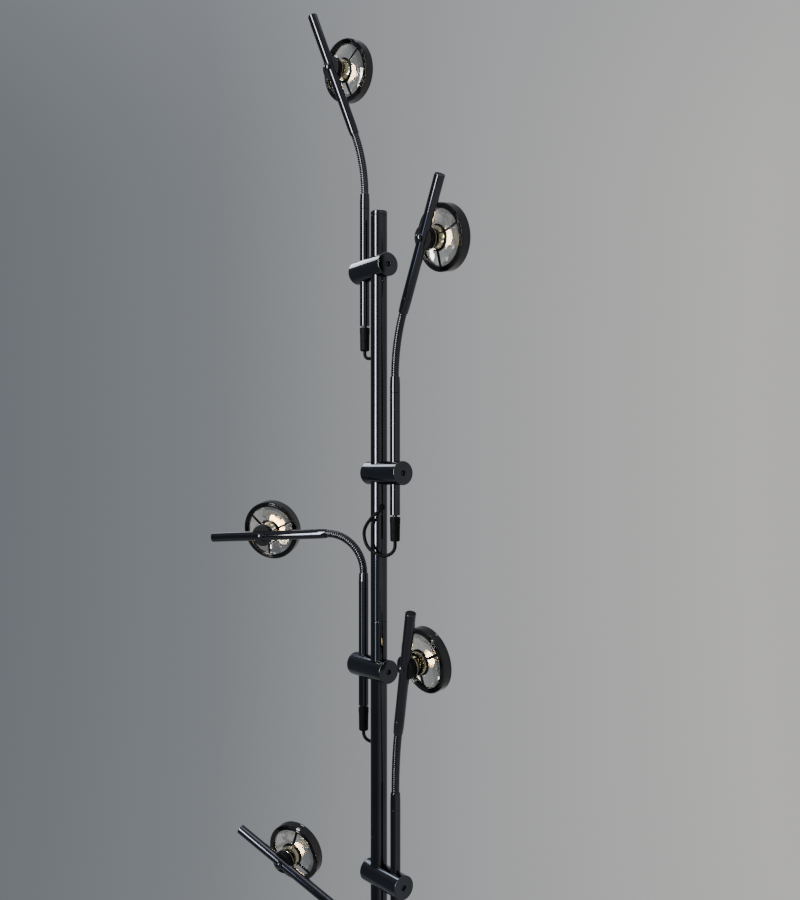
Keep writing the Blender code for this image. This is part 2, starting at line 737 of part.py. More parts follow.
def build_lens_ring(shop, arm):
    """Rim with a lip for the lens, joined to its hub by three spokes."""
    number = arm.number
    outer = RING_DIAMETER / 2
    inner = outer - RING_WALL
    rear = RING_STANDOFF
    front = rear + RING_DEPTH
    lip = inner - LIP_WIDTH
    lip_front = rear + LIP_DEPTH
    loop = [
        (outer - RING_EDGE, front),
        (outer, front - RING_EDGE),
        (outer, rear + RING_EDGE),
        (outer - RING_EDGE, rear),
        (lip, rear),
        (lip, lip_front),
        (inner, lip_front),
        (inner, front),
    ]
    place = arm.head_axes()
    ring = shop.turned(f"lens_ring_{number}", loop, FINE_STEPS, "black_nickel", place, ring=True)
    hub_inner = BARREL_DIAMETER / 2 + SEAT_GAP
    hub_outer = hub_inner + HUB_WIDTH
    hub_front = rear - HUB_SETBACK
    hub_rear = hub_front - HUB_THICKNESS
    washer = [(hub_outer, hub_front), (hub_outer, hub_rear), (hub_inner, hub_rear),
              (hub_inner, hub_front)]
    hub = shop.turned(f"hub_{number}", washer, TUBE_STEPS, "black_nickel", place, ring=True)
    hub_middle = (hub_front + hub_rear) / 2
    for index in range(SPOKE_COUNT):
        angle = math.radians(SPOKE_TURNS[number]) + math.tau * index / SPOKE_COUNT
        turn = Matrix.Rotation(angle, 4, "Z")
        start = Vector(((hub_inner + hub_outer) / 2, 0, hub_middle))
        end = Vector((inner, 0, hub_middle + SPOKE_RISE))
        spoke = build_spoke(shop, f"spoke_{number}_{index}", start, end, place @ turn)
        shop.boolean(hub, spoke, "UNION")
    shop.boolean(ring, hub, "UNION")
    return ring


def build_spoke(shop, name, start, end, place):
    """Flat bar between two points of its own XZ plane."""
    mesh = bpy.data.meshes.new(name)
    shape = bmesh.new()
    bmesh.ops.create_cube(shape, size=1)
    length = (end - start).length
    stretch = Matrix.Diagonal((length, SPOKE_WIDTH, SPOKE_THICKNESS, 1))
    bmesh.ops.transform(shape, matrix=stretch, verts=shape.verts)
    shape.to_mesh(mesh)
    shape.free()
    lean = math.atan2(end.z - start.z, end.x - start.x)
    middle = Matrix.Translation((start + end) / 2)
    placement = place @ middle @ Matrix.Rotation(-lean, 4, "Y")
    return shop.add(name, mesh, "black_nickel", placement)


def build_lens(shop, arm):
    """Round lens that seats on the rim's lip."""
    radius = RING_DIAMETER / 2 - RING_WALL - SEAT_GAP
    rear = RING_STANDOFF + LIP_DEPTH + SEAT_GAP
    shoulder = rear + LENS_EDGE_THICKNESS
    profile = []
    for index in range(LENS_RINGS + 1):
        share = index / LENS_RINGS
        profile.append((radius * share, shoulder + LENS_CROWN * (1 - share ** 2)))
    profile += [(radius, rear), (0, rear)]
    name = f"lens_{arm.number}"
    return shop.turned(name, profile, FINE_STEPS, "clear_glass", arm.head_axes())


def main():
    shop = Workshop()
    shop.material("black_nickel", (0.035, 0.035, 0.038), 0.10, 1)
    shop.material("black_chrome", (0.045, 0.045, 0.048), 0.18, 1)
    shop.material("black_rubber", (0.012, 0.012, 0.012), 0.55, 0)
    shop.material("polished_nickel", (0.62, 0.57, 0.47), 0.12, 1)
    shop.material("clear_glass", (0.95, 0.95, 0.95), 0.02, 0, glass=1)
    shop.material("steel", (0.35, 0.35, 0.36), 0.35, 1)
    shop.material("pad_foam", (0.02, 0.02, 0.02), 0.9, 0)
    arms = [Arm(number) for number in ARM_NUMBERS]
    build_base(shop)
    build_pole(shop, arms)
    for arm in arms:
        build_clamp(shop, arm)
        build_stem(shop, arm)
        build_gooseneck(shop, arm)
        build_head(shop, arm)
    bpy.context.view_layer.update()


main()
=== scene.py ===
"""Sunset lamp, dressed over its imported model.

A tall pole on a round base carries five cross clamps. Each clamp holds an arm: a stem tube with its
plug and lead, a gooseneck, and a head tube with a lamp socket and a lens in a ring. The places of
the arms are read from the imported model, and every size is in metres.
"""

import json
import logging
import math
from dataclasses import dataclass, field
from enum import Enum
from typing import Any, ClassVar, Iterable, Optional, Sequence

import bmesh
import bpy
from mathutils import Matrix, Vector


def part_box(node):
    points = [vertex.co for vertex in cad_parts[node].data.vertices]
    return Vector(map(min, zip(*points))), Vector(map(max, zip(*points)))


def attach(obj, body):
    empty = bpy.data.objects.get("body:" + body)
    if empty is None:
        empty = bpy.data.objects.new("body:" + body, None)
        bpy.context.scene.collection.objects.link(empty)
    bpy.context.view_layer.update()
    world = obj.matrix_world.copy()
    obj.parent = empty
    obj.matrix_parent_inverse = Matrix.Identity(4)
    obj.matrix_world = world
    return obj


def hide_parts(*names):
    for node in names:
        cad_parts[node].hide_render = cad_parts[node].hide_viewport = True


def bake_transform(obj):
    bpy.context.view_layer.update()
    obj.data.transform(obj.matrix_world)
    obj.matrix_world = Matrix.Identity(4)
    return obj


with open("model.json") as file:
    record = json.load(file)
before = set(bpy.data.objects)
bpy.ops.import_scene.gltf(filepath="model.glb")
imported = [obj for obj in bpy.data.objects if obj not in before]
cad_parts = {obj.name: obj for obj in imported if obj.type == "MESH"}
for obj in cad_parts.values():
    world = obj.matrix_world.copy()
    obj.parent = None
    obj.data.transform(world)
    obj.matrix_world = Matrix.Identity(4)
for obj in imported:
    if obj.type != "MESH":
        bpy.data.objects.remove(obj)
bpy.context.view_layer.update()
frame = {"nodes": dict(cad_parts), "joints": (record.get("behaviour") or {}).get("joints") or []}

LOG = logging.getLogger("sunset_lamp")

MM = 0.001
UP = Vector((0, 0, 1))
WELD = 1e-6
# Most of an edge that one rounding may use, and the shortest straight stretch kept beside it
EDGE_SHARE = 0.49
LEAST_HOLD = 0.02 * MM
# Short edges in a quarter round, and flat sides of a round cutting tool and of the floor
QUARTER_STEPS = 8
ROUND_SIDES = 96
# How far a cutting tool reaches, as a share of the radius of what it cuts
TOOL_REACH_SHARE = 1.5
SPOKES = 3
ARM_NUMBERS = (1, 2, 3, 4, 5)
POLE_RADIUS = 0.010
TUBE_RADIUS = 0.006
TUBE_LENGTH = 0.142
FERRULE_LENGTH = 0.019
NECK_LENGTH = 0.076
NECK_SEAT = 0.0095
LEAD_DIAMETER = 0.0040

# Shape of the noise that every soft pattern starts from, and where nearly all of it lies
NOISE_ROUGHNESS = 0.55
NOISE_LOW = 0.3
NOISE_HIGH = 0.7
FINE_DETAIL = 3.0

Outline = list[tuple[float, float]]
Corner = tuple[float, ...]
# Place, slope, and the reach of the handles behind and ahead
Knot = tuple[Vector, Vector, float, float]
Object = bpy.types.Object
Material = bpy.types.Material
Node = bpy.types.Node
Socket = bpy.types.NodeSocket


class Step(Enum):
    """How finely a turned piece is divided round its axis."""

    SMALL = 48
    TUBE = 80
    RING = 144
    BASE = 192


class Slot(Enum):
    """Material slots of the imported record."""

    PAD = "pad_foam"
    BLACK_NICKEL = "black_nickel"
    STEEL = "steel"
    RUBBER = "black_rubber"
    BLACK_CHROME = "black_chrome"
    RING = "ring_black"
    NICKEL = "polished_nickel"
    GLASS = "clear_glass"


class LensFace(Enum):
    """Numbers of the lens's materials."""

    BACK = 0
    EDGE = 1
    CROWN = 2


class LeadKind(Enum):
    """Which way a lead runs from the pole to the plug."""

    SHORT = "short"
    LOOPED = "looped"


# A lead's points: out from the pole to the stem, sideways, and up from the plug's underside
LEAD_ROUTES = {
    LeadKind.SHORT: (
        (0.0131, 0.0, -0.0100),
        (0.0160, 0.0, -0.0100),
        (0.0230, 0.0, -0.0098),
        (0.0284, 0.0, -0.0082),
        (0.0313, 0.0, -0.0054),
        (0.0320, 0.0, -0.0024),
        (0.0320, 0.0, -0.0004),
    ),
    LeadKind.LOOPED: (
        (0.01255, -0.00409, 0.0390),
        (0.0165, -0.0054, 0.0390),
        (0.0169, -0.0118, 0.0352),
        (0.0082, -0.0174, 0.0263),
        (-0.0010, -0.0203, 0.0125),
        (0.0001, -0.0199, -0.0010),
        (0.0062, -0.0175, -0.0100),
        (0.0146, -0.0122, -0.0156),
        (0.0217, -0.0070, -0.0172),
        (0.0282, -0.0025, -0.0140),
        (0.0315, -0.0003, -0.0085),
        (0.0320, 0.0, -0.0035),
        (0.0320, 0.0, -0.0004),
    ),
}
LEAD_KINDS = {
    1: LeadKind.SHORT,
    2: LeadKind.LOOPED,
    3: LeadKind.SHORT,
    4: LeadKind.LOOPED,
    5: LeadKind.SHORT,
}
# The route's point where a lead's two lengths meet
LEAD_MEETS = {LeadKind.SHORT: 2, LeadKind.LOOPED: 5}


def linear(hex_colour: str) -> tuple[float, float, float, float]:
    """Turn an sRGB hex colour into Blender's linear colour.

    Args:
        hex_colour: Six hex digits, with or without a leading hash.

    Returns:
        Linear red, green, blue and an alpha of one.
    """
    digits = hex_colour.lstrip("#")
    channels = []
    for start in (0, 2, 4):
        value = int(digits[start:start + 2], 16) / 255
        channels.append(value / 12.92 if value <= 0.04045 else ((value + 0.055) / 1.055) ** 2.4)
    return channels[0], channels[1], channels[2], 1.0


def add_node(
    tree: bpy.types.NodeTree,
    kind: str,
    options: Optional[dict[str, Any]] = None,
    values: Optional[dict[Any, Any]] = None,
    links: Optional[dict[Any, Socket]] = None,
) -> Node:
    """Add one node with its settings and links.

    Args:
        tree: Node tree that the node goes into.
        kind: Blender's type name of the node.
        options: The node's own properties, by name.
        values: Values of unlinked inputs, by socket name or number.
        links: Outputs that feed the node's inputs, by the input's name or number.

    Returns:
        The new node.
    """
    node = tree.nodes.new(kind)
    for name, value in (options or {}).items():
        setattr(node, name, value)
    for name, value in (values or {}).items():
        node.inputs[name].default_value = value
    for name, source in (links or {}).items():
        tree.links.new(source, node.inputs[name])
    return node


class Surface:
    """A material in the making: its shader and the patterns that are laid over it."""

    def __init__(self, name: str, values: dict[str, Any], own_place: bool = False) -> None:
        """Start a material whose shader has its constant values set.

        Args:
            name: The material's name.
            values: Values of the shader's own sockets.
            own_place: True where patterns read the place that a piece kept on the bench, and
                False where they read its place in the lamp.
        """
        self.material = bpy.data.materials.new(name)
        self.material.use_nodes = True
        self.tree = self.material.node_tree
        self.shader = self.tree.nodes["Principled BSDF"]
        self.raised: Optional[Node] = None
        for socket, value in values.items():
            self.shader.inputs[socket].default_value = value
        if own_place:
            self.place = self.bench_place()
        else:
            self.place = add_node(self.tree, "ShaderNodeTexCoord").outputs["Object"]

    def bench_place(self) -> Socket:
        """Read the place that a piece kept on the bench."""
        options = {"attribute_type": "GEOMETRY", "attribute_name": Bench.OWN_PLACE}
        return add_node(self.tree, "ShaderNodeAttribute", options).outputs["Vector"]

    def feed(self, socket: str, source: Socket) -> None:
        """Link a pattern to one of the shader's sockets."""
        self.tree.links.new(source, self.shader.inputs[socket])

    def patches(self, size: float, low: float, high: float, detail: float = 2.0) -> Socket:
        """Lay soft patches of a real size over the surface.

        Args:
            size: Width of one patch in metres.
            low: Value in the lowest patches.
            high: Value in the highest patches.
            detail: How much finer noise is laid on top.

        Returns:
            The value, which varies over the surface.
        """
        values = {"Scale": 1 / size, "Detail": detail, "Roughness": NOISE_ROUGHNESS}
        links = {"Vector": self.place}
        noise = add_node(self.tree, "ShaderNodeTexNoise", None, values, links)
        values = {"From Min": NOISE_LOW, "From Max": NOISE_HIGH, "To Min": low, "To Max": high}
        links = {"Value": noise.outputs[0]}
        return add_node(self.tree, "ShaderNodeMapRange", None, values, links).outputs[0]

    def two_tone(self, share: Socket, first: str, second: str) -> None:
        """Colour the surface between two tones.

        Args:
            share: Share of the second tone.
            first: Hex colour where the share is zero.
            second: Hex colour where the share is one.
        """
        options = {"data_type": "RGBA"}
        values = {6: linear(first), 7: linear(second)}
        mixed = add_node(self.tree, "ShaderNodeMix", options, values, {0: share})
        self.feed("Base Color", mixed.outputs[2])

    def raise_by(self, pattern: Socket, height: float) -> None:
        """Raise the surface by a pattern, over what was raised before.

        Args:
            pattern: The pattern, from zero to one.
            height: How far it rises in metres.
        """
        values = {"Distance": height, "Strength": 1.0}
        links = {"Height": pattern}
        if self.raised:
            links["Normal"] = self.raised.outputs[0]
        self.raised = add_node(self.tree, "ShaderNodeBump", None, values, links)
        self.feed("Normal", self.raised.outputs[0])

    def ripple(self, size: float, height: float, detail: float = 1.0) -> None:
        """Raise soft ripples of a real size.

        Args:
            size: Width of one ripple in metres.
            height: Its height in metres.
            detail: How much finer noise is laid on top.
        """
        values = {"Scale": 1 / size, "Detail": detail, "Roughness": NOISE_ROUGHNESS}
        noise = add_node(self.tree, "ShaderNodeTexNoise", None, values, {"Vector": self.place})
        self.raise_by(noise.outputs[0], height)


@dataclass(frozen=True)
class PlatedMetal:
    """Bright plating on turned or drawn metal.

    The eye reads it by sharp mirror images that are a little uneven: the polishing leaves low
    ripples, handling leaves faint dull patches, and the lathe leaves fine rings on turned faces.
    """

    name: str
    colour: str
    second_colour: str
    roughness: float
    dull_roughness: float
    patch_size: float = 45 * MM
    tint_share: float = 1.7
    ripple_size: float = 14 * MM
    ripple_height: float = 0.004 * MM
    ring_pitch: float = 0.0
    ring_height: float = 0.0
    own_place: bool = False

    def make(self) -> Material:
        """Build the material.

        Returns:
            The material.
        """
        surface = Surface(self.name, {"Metallic": 1.0}, self.own_place)
        tint = surface.patches(self.patch_size * self.tint_share, 0.0, 1.0)
        surface.two_tone(tint, self.colour, self.second_colour)
        dull = surface.patches(self.patch_size, self.roughness, self.dull_roughness, FINE_DETAIL)
        surface.feed("Roughness", dull)
        surface.ripple(self.ripple_size, self.ripple_height)
        if self.ring_pitch:
            self.turn_rings(surface)
        return surface.material

    def turn_rings(self, surface: Surface) -> None:
        """Lay the lathe's fine rings over the ripples.

        Args:
            surface: The material in the making.
        """
        tree = surface.tree
        links = {0: surface.bench_place()}
        options = {"operation": "MULTIPLY"}
        flat = add_node(tree, "ShaderNodeVectorMath", options, {1: (1, 1, 0)}, links)
        options = {"operation": "LENGTH"}
        radius = add_node(tree, "ShaderNodeVectorMath", options, None, {0: flat.outputs[0]})
        values = {"Scale": 1 / self.ring_pitch, "Detail": 1.0}
        links = {"W": radius.outputs["Value"]}
        rings = add_node(tree, "ShaderNodeTexNoise", {"noise_dimensions": "1D"}, values, links)
        surface.raise_by(rings.outputs[0], self.ring_height)


@dataclass(frozen=True)
class MouldedRubber:
    """Matt black rubber from a spark-eroded mould.

    The eye reads it by a broad dull sheen broken by a fine grain, with paler rubbed patches.
    """

    name: str
    colour: str
    rubbed_colour: str
    roughness: float
    rubbed_roughness: float
    gloss: float = 0.08
    rub_size: float = 9 * MM
    sheen_size: float = 6 * MM
    grain_size: float = 0.45 * MM
    grain_height: float = 0.04 * MM

    def make(self) -> Material:
        """Build the material.

        Returns:
            The material.
        """
        values = {"IOR": 1.5, "Specular IOR Level": self.gloss}
        surface = Surface(self.name, values, own_place=True)
        rubbed = surface.patches(self.rub_size, 0.0, 1.0, FINE_DETAIL)
        surface.two_tone(rubbed, self.colour, self.rubbed_colour)
        sheen = surface.patches(self.sheen_size, self.roughness, self.rubbed_roughness)
        surface.feed("Roughness", sheen)
        surface.ripple(self.grain_size, self.grain_height)
        return surface.material


@dataclass(frozen=True)
class PressedFoam:
    """Black closed-cell foam under the base.

    The eye reads it by its dead black and by the small open cells of its cut edge.
    Their pits are painted darker, as painted shade.
    """

    name: str = "closed_cell_foam"
    colour: str = "#1C1C1D"
    cell_pit_shade: str = "#101011"
    roughness: float = 0.95
    cell_size: float = 1.2 * MM
    cell_depth: float = 0.15 * MM

    def make(self) -> Material:
        """Build the material.

        Returns:
            The material.
        """
        surface = Surface(self.name, {"Roughness": self.roughness, "IOR": 1.45})
        values = {"Scale": 1 / self.cell_size}
        links = {"Vector": surface.place}
        cells = add_node(surface.tree, "ShaderNodeTexVoronoi", None, values, links)
        depth = cells.outputs["Distance"]
        # The pits are painted darker than the foam's own colour, as painted shade, by the same
        # pattern that sinks them
        surface.two_tone(depth, self.cell_pit_shade, self.colour)
        surface.raise_by(depth, self.cell_depth)
        return surface.material


@dataclass(frozen=True)
class LensGlass:
    """Pressed and polished crown glass.

    The eye reads it by crisp reflections and by the bent image of what lies behind, with the slow
    waviness that pressing leaves. The ground edge is a frosted version of it, and the crown has a
    thin mirror film, which shows the lit socket and the studio as white streaks.
    """

    name: str
    tint: str
    polish: float
    worn_polish: float
    mirror_film: float = 0.0
    wear_size: float = 11 * MM
    wave_height: float = 0.02 * MM
    wave_size: float = 16 * MM

    def make(self) -> Material:
        """Build the material.

        Returns:
            The material.
        """
        values = {
            "Transmission Weight": 1.0,
            "IOR": 1.52,
            "Base Color": linear(self.tint),
            "Metallic": self.mirror_film,
        }
        surface = Surface(self.name, values, own_place=True)
        worn = surface.patches(self.wear_size, self.polish, self.worn_polish, FINE_DETAIL)
        surface.feed("Roughness", worn)
        surface.ripple(self.wave_size, self.wave_height, 0.0)
        return surface.material


@dataclass(frozen=True)
class LampResin:
    """Silicone over yellow phosphor, which glows warm white.

    The eye reads it by its yellow colour, by the grain of the phosphor and by its soft glow.
    """

    name: str = "phosphor_resin"
    colour: str = "#E9C04A"
    pale_colour: str = "#F4DE8C"
    glow: str = "#FFDDA6"
    glow_strength: float = 70.0
    roughness: float = 0.22
    grain_size: float = 0.7 * MM

    def make(self) -> Material:
        """Build the material.

        Returns:
            The material.
        """
        values = {
            "Roughness": self.roughness,
            "IOR": 1.41,
            "Emission Color": linear(self.glow),
            "Emission Strength": self.glow_strength,
        }
        surface = Surface(self.name, values, own_place=True)
        grain = surface.patches(self.grain_size, 0.0, 1.0)
        surface.two_tone(grain, self.colour, self.pale_colour)
        return surface.material


@dataclass(frozen=True)
class StudioFloor:
    """Pale painted floor with a slight mottle, which fades out before the photograph's view."""

    name: str = "pale_floor_paint"
    colour: str = "#C9C9C7"
    second_colour: str = "#C3C3C2"
    roughness: float = 0.85
    mottle_size: float = 0.6
    fade_start: float = 0.75
    fade_end: float = 1.42

    def make(self) -> Material:
        """Build the material.

        Returns:
            The material.
        """
        surface = Surface(self.name, {"Roughness": self.roughness})
        tree = surface.tree
        mottle = surface.patches(self.mottle_size, 0.0, 1.0, FINE_DETAIL)
        surface.two_tone(mottle, self.colour, self.second_colour)
        links = {0: surface.place}
        radius = add_node(tree, "ShaderNodeVectorMath", {"operation": "LENGTH"}, None, links)
        fade = add_node(
            tree,
            "ShaderNodeMapRange",
            {"interpolation_type": "SMOOTHSTEP"},
            {"From Min": self.fade_start, "From Max": self.fade_end},
            {"Value": radius.outputs["Value"]},
        )
        clear = add_node(tree, "ShaderNodeBsdfTransparent")
        links = {0: fade.outputs[0], 1: surface.shader.outputs[0], 2: clear.outputs[0]}
        blend = add_node(tree, "ShaderNodeMixShader", None, None, links)
        tree.links.new(blend.outputs[0], tree.nodes["Material Output"].inputs["Surface"])
        return surface.material


@dataclass(frozen=True)
class Finishes:
    """One material for each of the lamp's finishes."""

    pole_nickel: Material
    tube_nickel: Material
    clamp_nickel: Material
    base_nickel: Material
    flex_chrome: Material
    ring_black: Material
    spoke_black: Material
    bright_nickel: Material
    barrel_nickel: Material
    boss_black: Material
    steel: Material
    plug_rubber: Material
    lead_rubber: Material
    foam: Material
    lens: Material
    lens_edge: Material
    lens_crown: Material
    lamp: Material

    @classmethod
    def mix(cls) -> "Finishes":
        """Make every material of the lamp.

        Returns:
            The lamp's materials.
        """
        black = ("#434449", "#4B4B50")
        return cls(
            # Polished tube in black nickel: nearly black, with long mirror images down its length
            pole_nickel=PlatedMetal("black_nickel_pole", *black, 0.035, 0.075).make(),
            tube_nickel=PlatedMetal("black_nickel_tube", *black, 0.035, 0.08).make(),
            # Turned from bar and plated: the end faces keep the lathe's rings, drawn 0.5 mm apart,
            # coarser than the real ones, so that they show
            clamp_nickel=PlatedMetal(
                "black_nickel_bar", "#50555C", "#4A4A4E", 0.08, 0.14,
                ring_pitch=0.5 * MM, ring_height=0.012 * MM,
            ).make(),
            base_nickel=PlatedMetal(
                "black_nickel_disc", *black, 0.08, 0.18, patch_size=90 * MM,
                ripple_size=50 * MM, ripple_height=0.03 * MM,
            ).make(),
            # Rolled steel strip wound into a hose and chromed black, a little duller in its grooves
            flex_chrome=PlatedMetal(
                "black_chrome_hose", "#46474C", "#3A3A3D", 0.09, 0.18, ripple_size=1.6 * MM,
                ripple_height=0.012 * MM, own_place=True,
            ).make(),
            # Gloss black anodised aluminium with a warm brown cast on its turned side
            ring_black=PlatedMetal(
                "anodised_aluminium_black", "#454546", "#4D4B49", 0.05, 0.12,
                ring_pitch=0.6 * MM, ring_height=0.010 * MM, own_place=True,
            ).make(),
            spoke_black=PlatedMetal(
                "stove_enamelled_steel", "#2A2A2C", "#333336", 0.22, 0.34, own_place=True
            ).make(),
            bright_nickel=PlatedMetal(
                "polished_nickel_plate", "#DAD5C8", "#CFC7B4", 0.06, 0.16,
                ring_pitch=0.4 * MM, ring_height=0.010 * MM, own_place=True,
            ).make(),
            barrel_nickel=PlatedMetal(
                "turned_nickel_brass", "#EFE6C8", "#E2D6B0", 0.04, 0.10,
                ring_pitch=0.4 * MM, ring_height=0.012 * MM, own_place=True,
            ).make(),
            # Bead-blasted and anodised aluminium heat sink: matt black, with no image in it
            boss_black=PlatedMetal(
                "blasted_aluminium_black", "#242426", "#2A2A2B", 0.48, 0.60,
                ripple_size=0.8 * MM, ripple_height=0.02 * MM, own_place=True,
            ).make(),
            steel=PlatedMetal(
                "zinc_plated_steel", "#9A9CA0", "#84868A", 0.28, 0.42,
                ripple_size=2 * MM, ripple_height=0.01 * MM,
            ).make(),
            plug_rubber=MouldedRubber(
                "moulded_plug_rubber", "#070708", "#0E0E0F", 0.50, 0.66
            ).make(),
            lead_rubber=MouldedRubber(
                "extruded_lead_rubber", "#060607", "#0C0C0D", 0.42, 0.58,
                grain_size=0.8 * MM, grain_height=0.02 * MM,
            ).make(),
            foam=PressedFoam().make(),
            lens=LensGlass(
                "crown_glass_polished", "#F7FAFA", 0.0, 0.02, wave_height=0.08 * MM,
                wave_size=7 * MM,
            ).make(),
            lens_edge=LensGlass("crown_glass_ground", "#EDF2F2", 0.25, 0.45).make(),
            lens_crown=LensGlass(
                "crown_glass_filmed", "#F6F2EA", 0.01, 0.04, mirror_film=0.5,
                wave_height=0.28 * MM, wave_size=8 * MM,
            ).make(),
            lamp=LampResin().make(),
        )


class Bench:
    """Modelling steps that the pieces share, each done as by hand."""

    OWN_PLACE = "own_place"

    @staticmethod
    def clear_selection() -> None:
        """Deselect every object, so that an operator acts on the new piece alone."""
        bpy.ops.object.select_all(action="DESELECT")

    @staticmethod
    def pick(piece: Object) -> None:
        """Select one piece alone and make it active.

        Args:
            piece: The piece to work on.
        """
        Bench.clear_selection()
        piece.select_set(True)
        bpy.context.view_layer.objects.active = piece

    @staticmethod
    def smooth(piece: Object, degrees: float = 30.0) -> None:
        """Shade a piece smooth, but keep edges sharper than an angle.

        Args:
            piece: The piece to shade.
            degrees: Least angle of an edge that stays sharp.
        """
        Bench.pick(piece)
        bpy.ops.object.shade_smooth_by_angle(angle=math.radians(degrees))

    @staticmethod
    def turned(name: str, outline: Outline, step: Step) -> Object:
        """Turn an outline about Z: one corner is drawn out point by point, then spun.

        Args:
            name: Name of the piece.
            outline: Radius and height of each point.
            step: How finely the piece is divided.

        Returns:
            The turned piece, at the world origin.
        """
        Bench.clear_selection()
        bpy.ops.mesh.primitive_plane_add(size=MM, location=(0, 0, 0))
        piece = bpy.context.active_object
        piece.name = name
        bpy.ops.object.mode_set(mode="EDIT")
        bpy.ops.mesh.select_mode(type="VERT")
        bpy.ops.mesh.select_all(action="SELECT")
        bpy.ops.mesh.merge(type="CENTER")
        bpy.ops.transform.translate(value=(outline[0][0], 0, outline[0][1]))
        for (radius, height), (next_radius, next_height) in zip(outline, outline[1:]):
            move = (next_radius - radius, 0, next_height - height)
            bpy.ops.mesh.extrude_region_move(TRANSFORM_OT_translate={"value": move})
        bpy.ops.mesh.select_all(action="SELECT")
        bpy.ops.mesh.spin(steps=step.value, angle=math.tau, center=(0, 0, 0), axis=(0, 0, 1))
        Bench.weld()
        Bench.smooth(piece)
        return piece

    @staticmethod
    def weld() -> None:
        """Merge doubles, turn the faces outwards and leave edit mode."""
        bpy.ops.mesh.select_all(action="SELECT")
        bpy.ops.mesh.remove_doubles(threshold=WELD)
        bpy.ops.mesh.normals_make_consistent(inside=False)
        bpy.ops.object.mode_set(mode="OBJECT")

    @staticmethod
    def apply(piece: Object, kind: str, **settings: Any) -> None:
        """Add a modifier to a piece and apply it.

        Args:
            piece: The piece to change.
            kind: Blender's type name of the modifier.
            settings: The modifier's own settings.
        """
        Bench.pick(piece)
        step = piece.modifiers.new(kind.lower(), kind)
        for setting, value in settings.items():
            setattr(step, setting, value)
        bpy.ops.object.modifier_apply(modifier=step.name)

    @staticmethod
    def cut(piece: Object, tool: Object) -> None:
        """Cut a tool's shape out of a piece and remove the tool.

        Args:
            piece: The piece to cut.
            tool: Closed shape to take away.
        """
        Bench.apply(piece, "BOOLEAN", operation="DIFFERENCE", solver="EXACT", object=tool)
        Bench.scrap([tool])
        Bench.smooth(piece)

    @staticmethod
    def rod(name: str, radius: float, ends: tuple[Vector, Vector], sides: int) -> Object:
        """Make a plain rod between two points, used as a cutting tool.

        Args:
            name: Name of the tool.
            radius: Distance from the axis to a corner.
            ends: Where the rod starts and ends.
            sides: Number of flat sides.

        Returns:
            The rod.
        """
        Bench.clear_selection()
        along = ends[1] - ends[0]
        turn = along.to_track_quat("Z", "Y").to_euler()
        bpy.ops.mesh.primitive_cylinder_add(
            vertices=sides,
            radius=radius,
            depth=along.length,
            location=(ends[0] + ends[1]) / 2,
            rotation=turn,
        )
        tool = bpy.context.active_object
        tool.name = name
        bpy.ops.object.transform_apply(location=True, rotation=True, scale=True)
        return tool

    @staticmethod
    def bezier(name: str, knots: Sequence[Knot], resolution: int) -> Object:
        """Draw a curve through knots, whose handles are set one by one.

        Args:
            name: Name of the curve.
            knots: The curve's knots, in their order.
            resolution: Number of short edges between two knots.

        Returns:
            The curve, which is left active.
        """
        Bench.clear_selection()
        bpy.ops.curve.primitive_bezier_curve_add(location=(0, 0, 0))
        piece = bpy.context.active_object
        piece.name = name
        piece.data.dimensions = "3D"
        piece.data.resolution_u = resolution
        points = piece.data.splines[0].bezier_points
        points.add(len(knots) - len(points))
        for point, (place, slope, back, ahead) in zip(points, knots):
            point.handle_left_type = "FREE"
            point.handle_right_type = "FREE"
            point.co = place
            point.handle_left = place - slope * back
            point.handle_right = place + slope * ahead
        return piece

    @staticmethod
    def join(name: str, pieces: Sequence[Object]) -> Object:
        """Join several shapes into one object.

        Args:
            name: Name of the joined piece.
            pieces: The shapes, of which the first keeps its materials' order.

        Returns:
            The joined piece.
        """
        Bench.clear_selection()
        for piece in pieces:
            piece.select_set(True)
        bpy.context.view_layer.objects.active = pieces[0]
        bpy.ops.object.join()
        joined = bpy.context.active_object
        joined.name = name
        return joined

    @staticmethod
    def remember(piece: Object) -> None:
        """Keep each corner's place on the bench, so that a pattern follows the surface.

        Args:
            piece: The finished piece, still on the bench.
        """
        mesh = piece.data
        kept = mesh.attributes.new(Bench.OWN_PLACE, "FLOAT_VECTOR", "POINT")
        values = [0.0] * (3 * len(mesh.vertices))
        mesh.vertices.foreach_get("co", values)
        kept.data.foreach_set("vector", values)

    @staticmethod
    def copy(master: Object, name: str, place: Matrix) -> Object:
        """Copy a finished master with its own mesh and put the copy in its place.

        Args:
            master: Piece on the bench.
            name: Name of the copy.
            place: Where the copy goes, in the lamp's frame.

        Returns:
            The copy, whose place is in its mesh.
        """
        made = master.copy()
        made.data = master.data.copy()
        made.name = name
        made.data.name = name
        bpy.context.scene.collection.objects.link(made)
        made.data.transform(place)
        return made

    @staticmethod
    def scrap(pieces: Iterable[Object]) -> None:
        """Remove tools and masters that are no longer needed.

        Args:
            pieces: The objects to remove, with their meshes.
        """
        for piece in list(pieces):
            mesh = piece.data
            bpy.data.objects.remove(piece)
            if mesh.users == 0:
                bpy.data.meshes.remove(mesh)

    @staticmethod
    def dress(piece: Object, *materials: Material) -> None:
        """Give a piece its materials.

        Args:
            piece: The piece to dress.
            materials: One material, or one for each number that the piece's faces have.
        """
        faces = piece.data.polygons
        numbers = [face.material_index for face in faces]
        piece.data.materials.clear()
        for material in materials:
            piece.data.materials.append(material)
        if len(materials) > 1:
            faces.foreach_set("material_index", numbers)


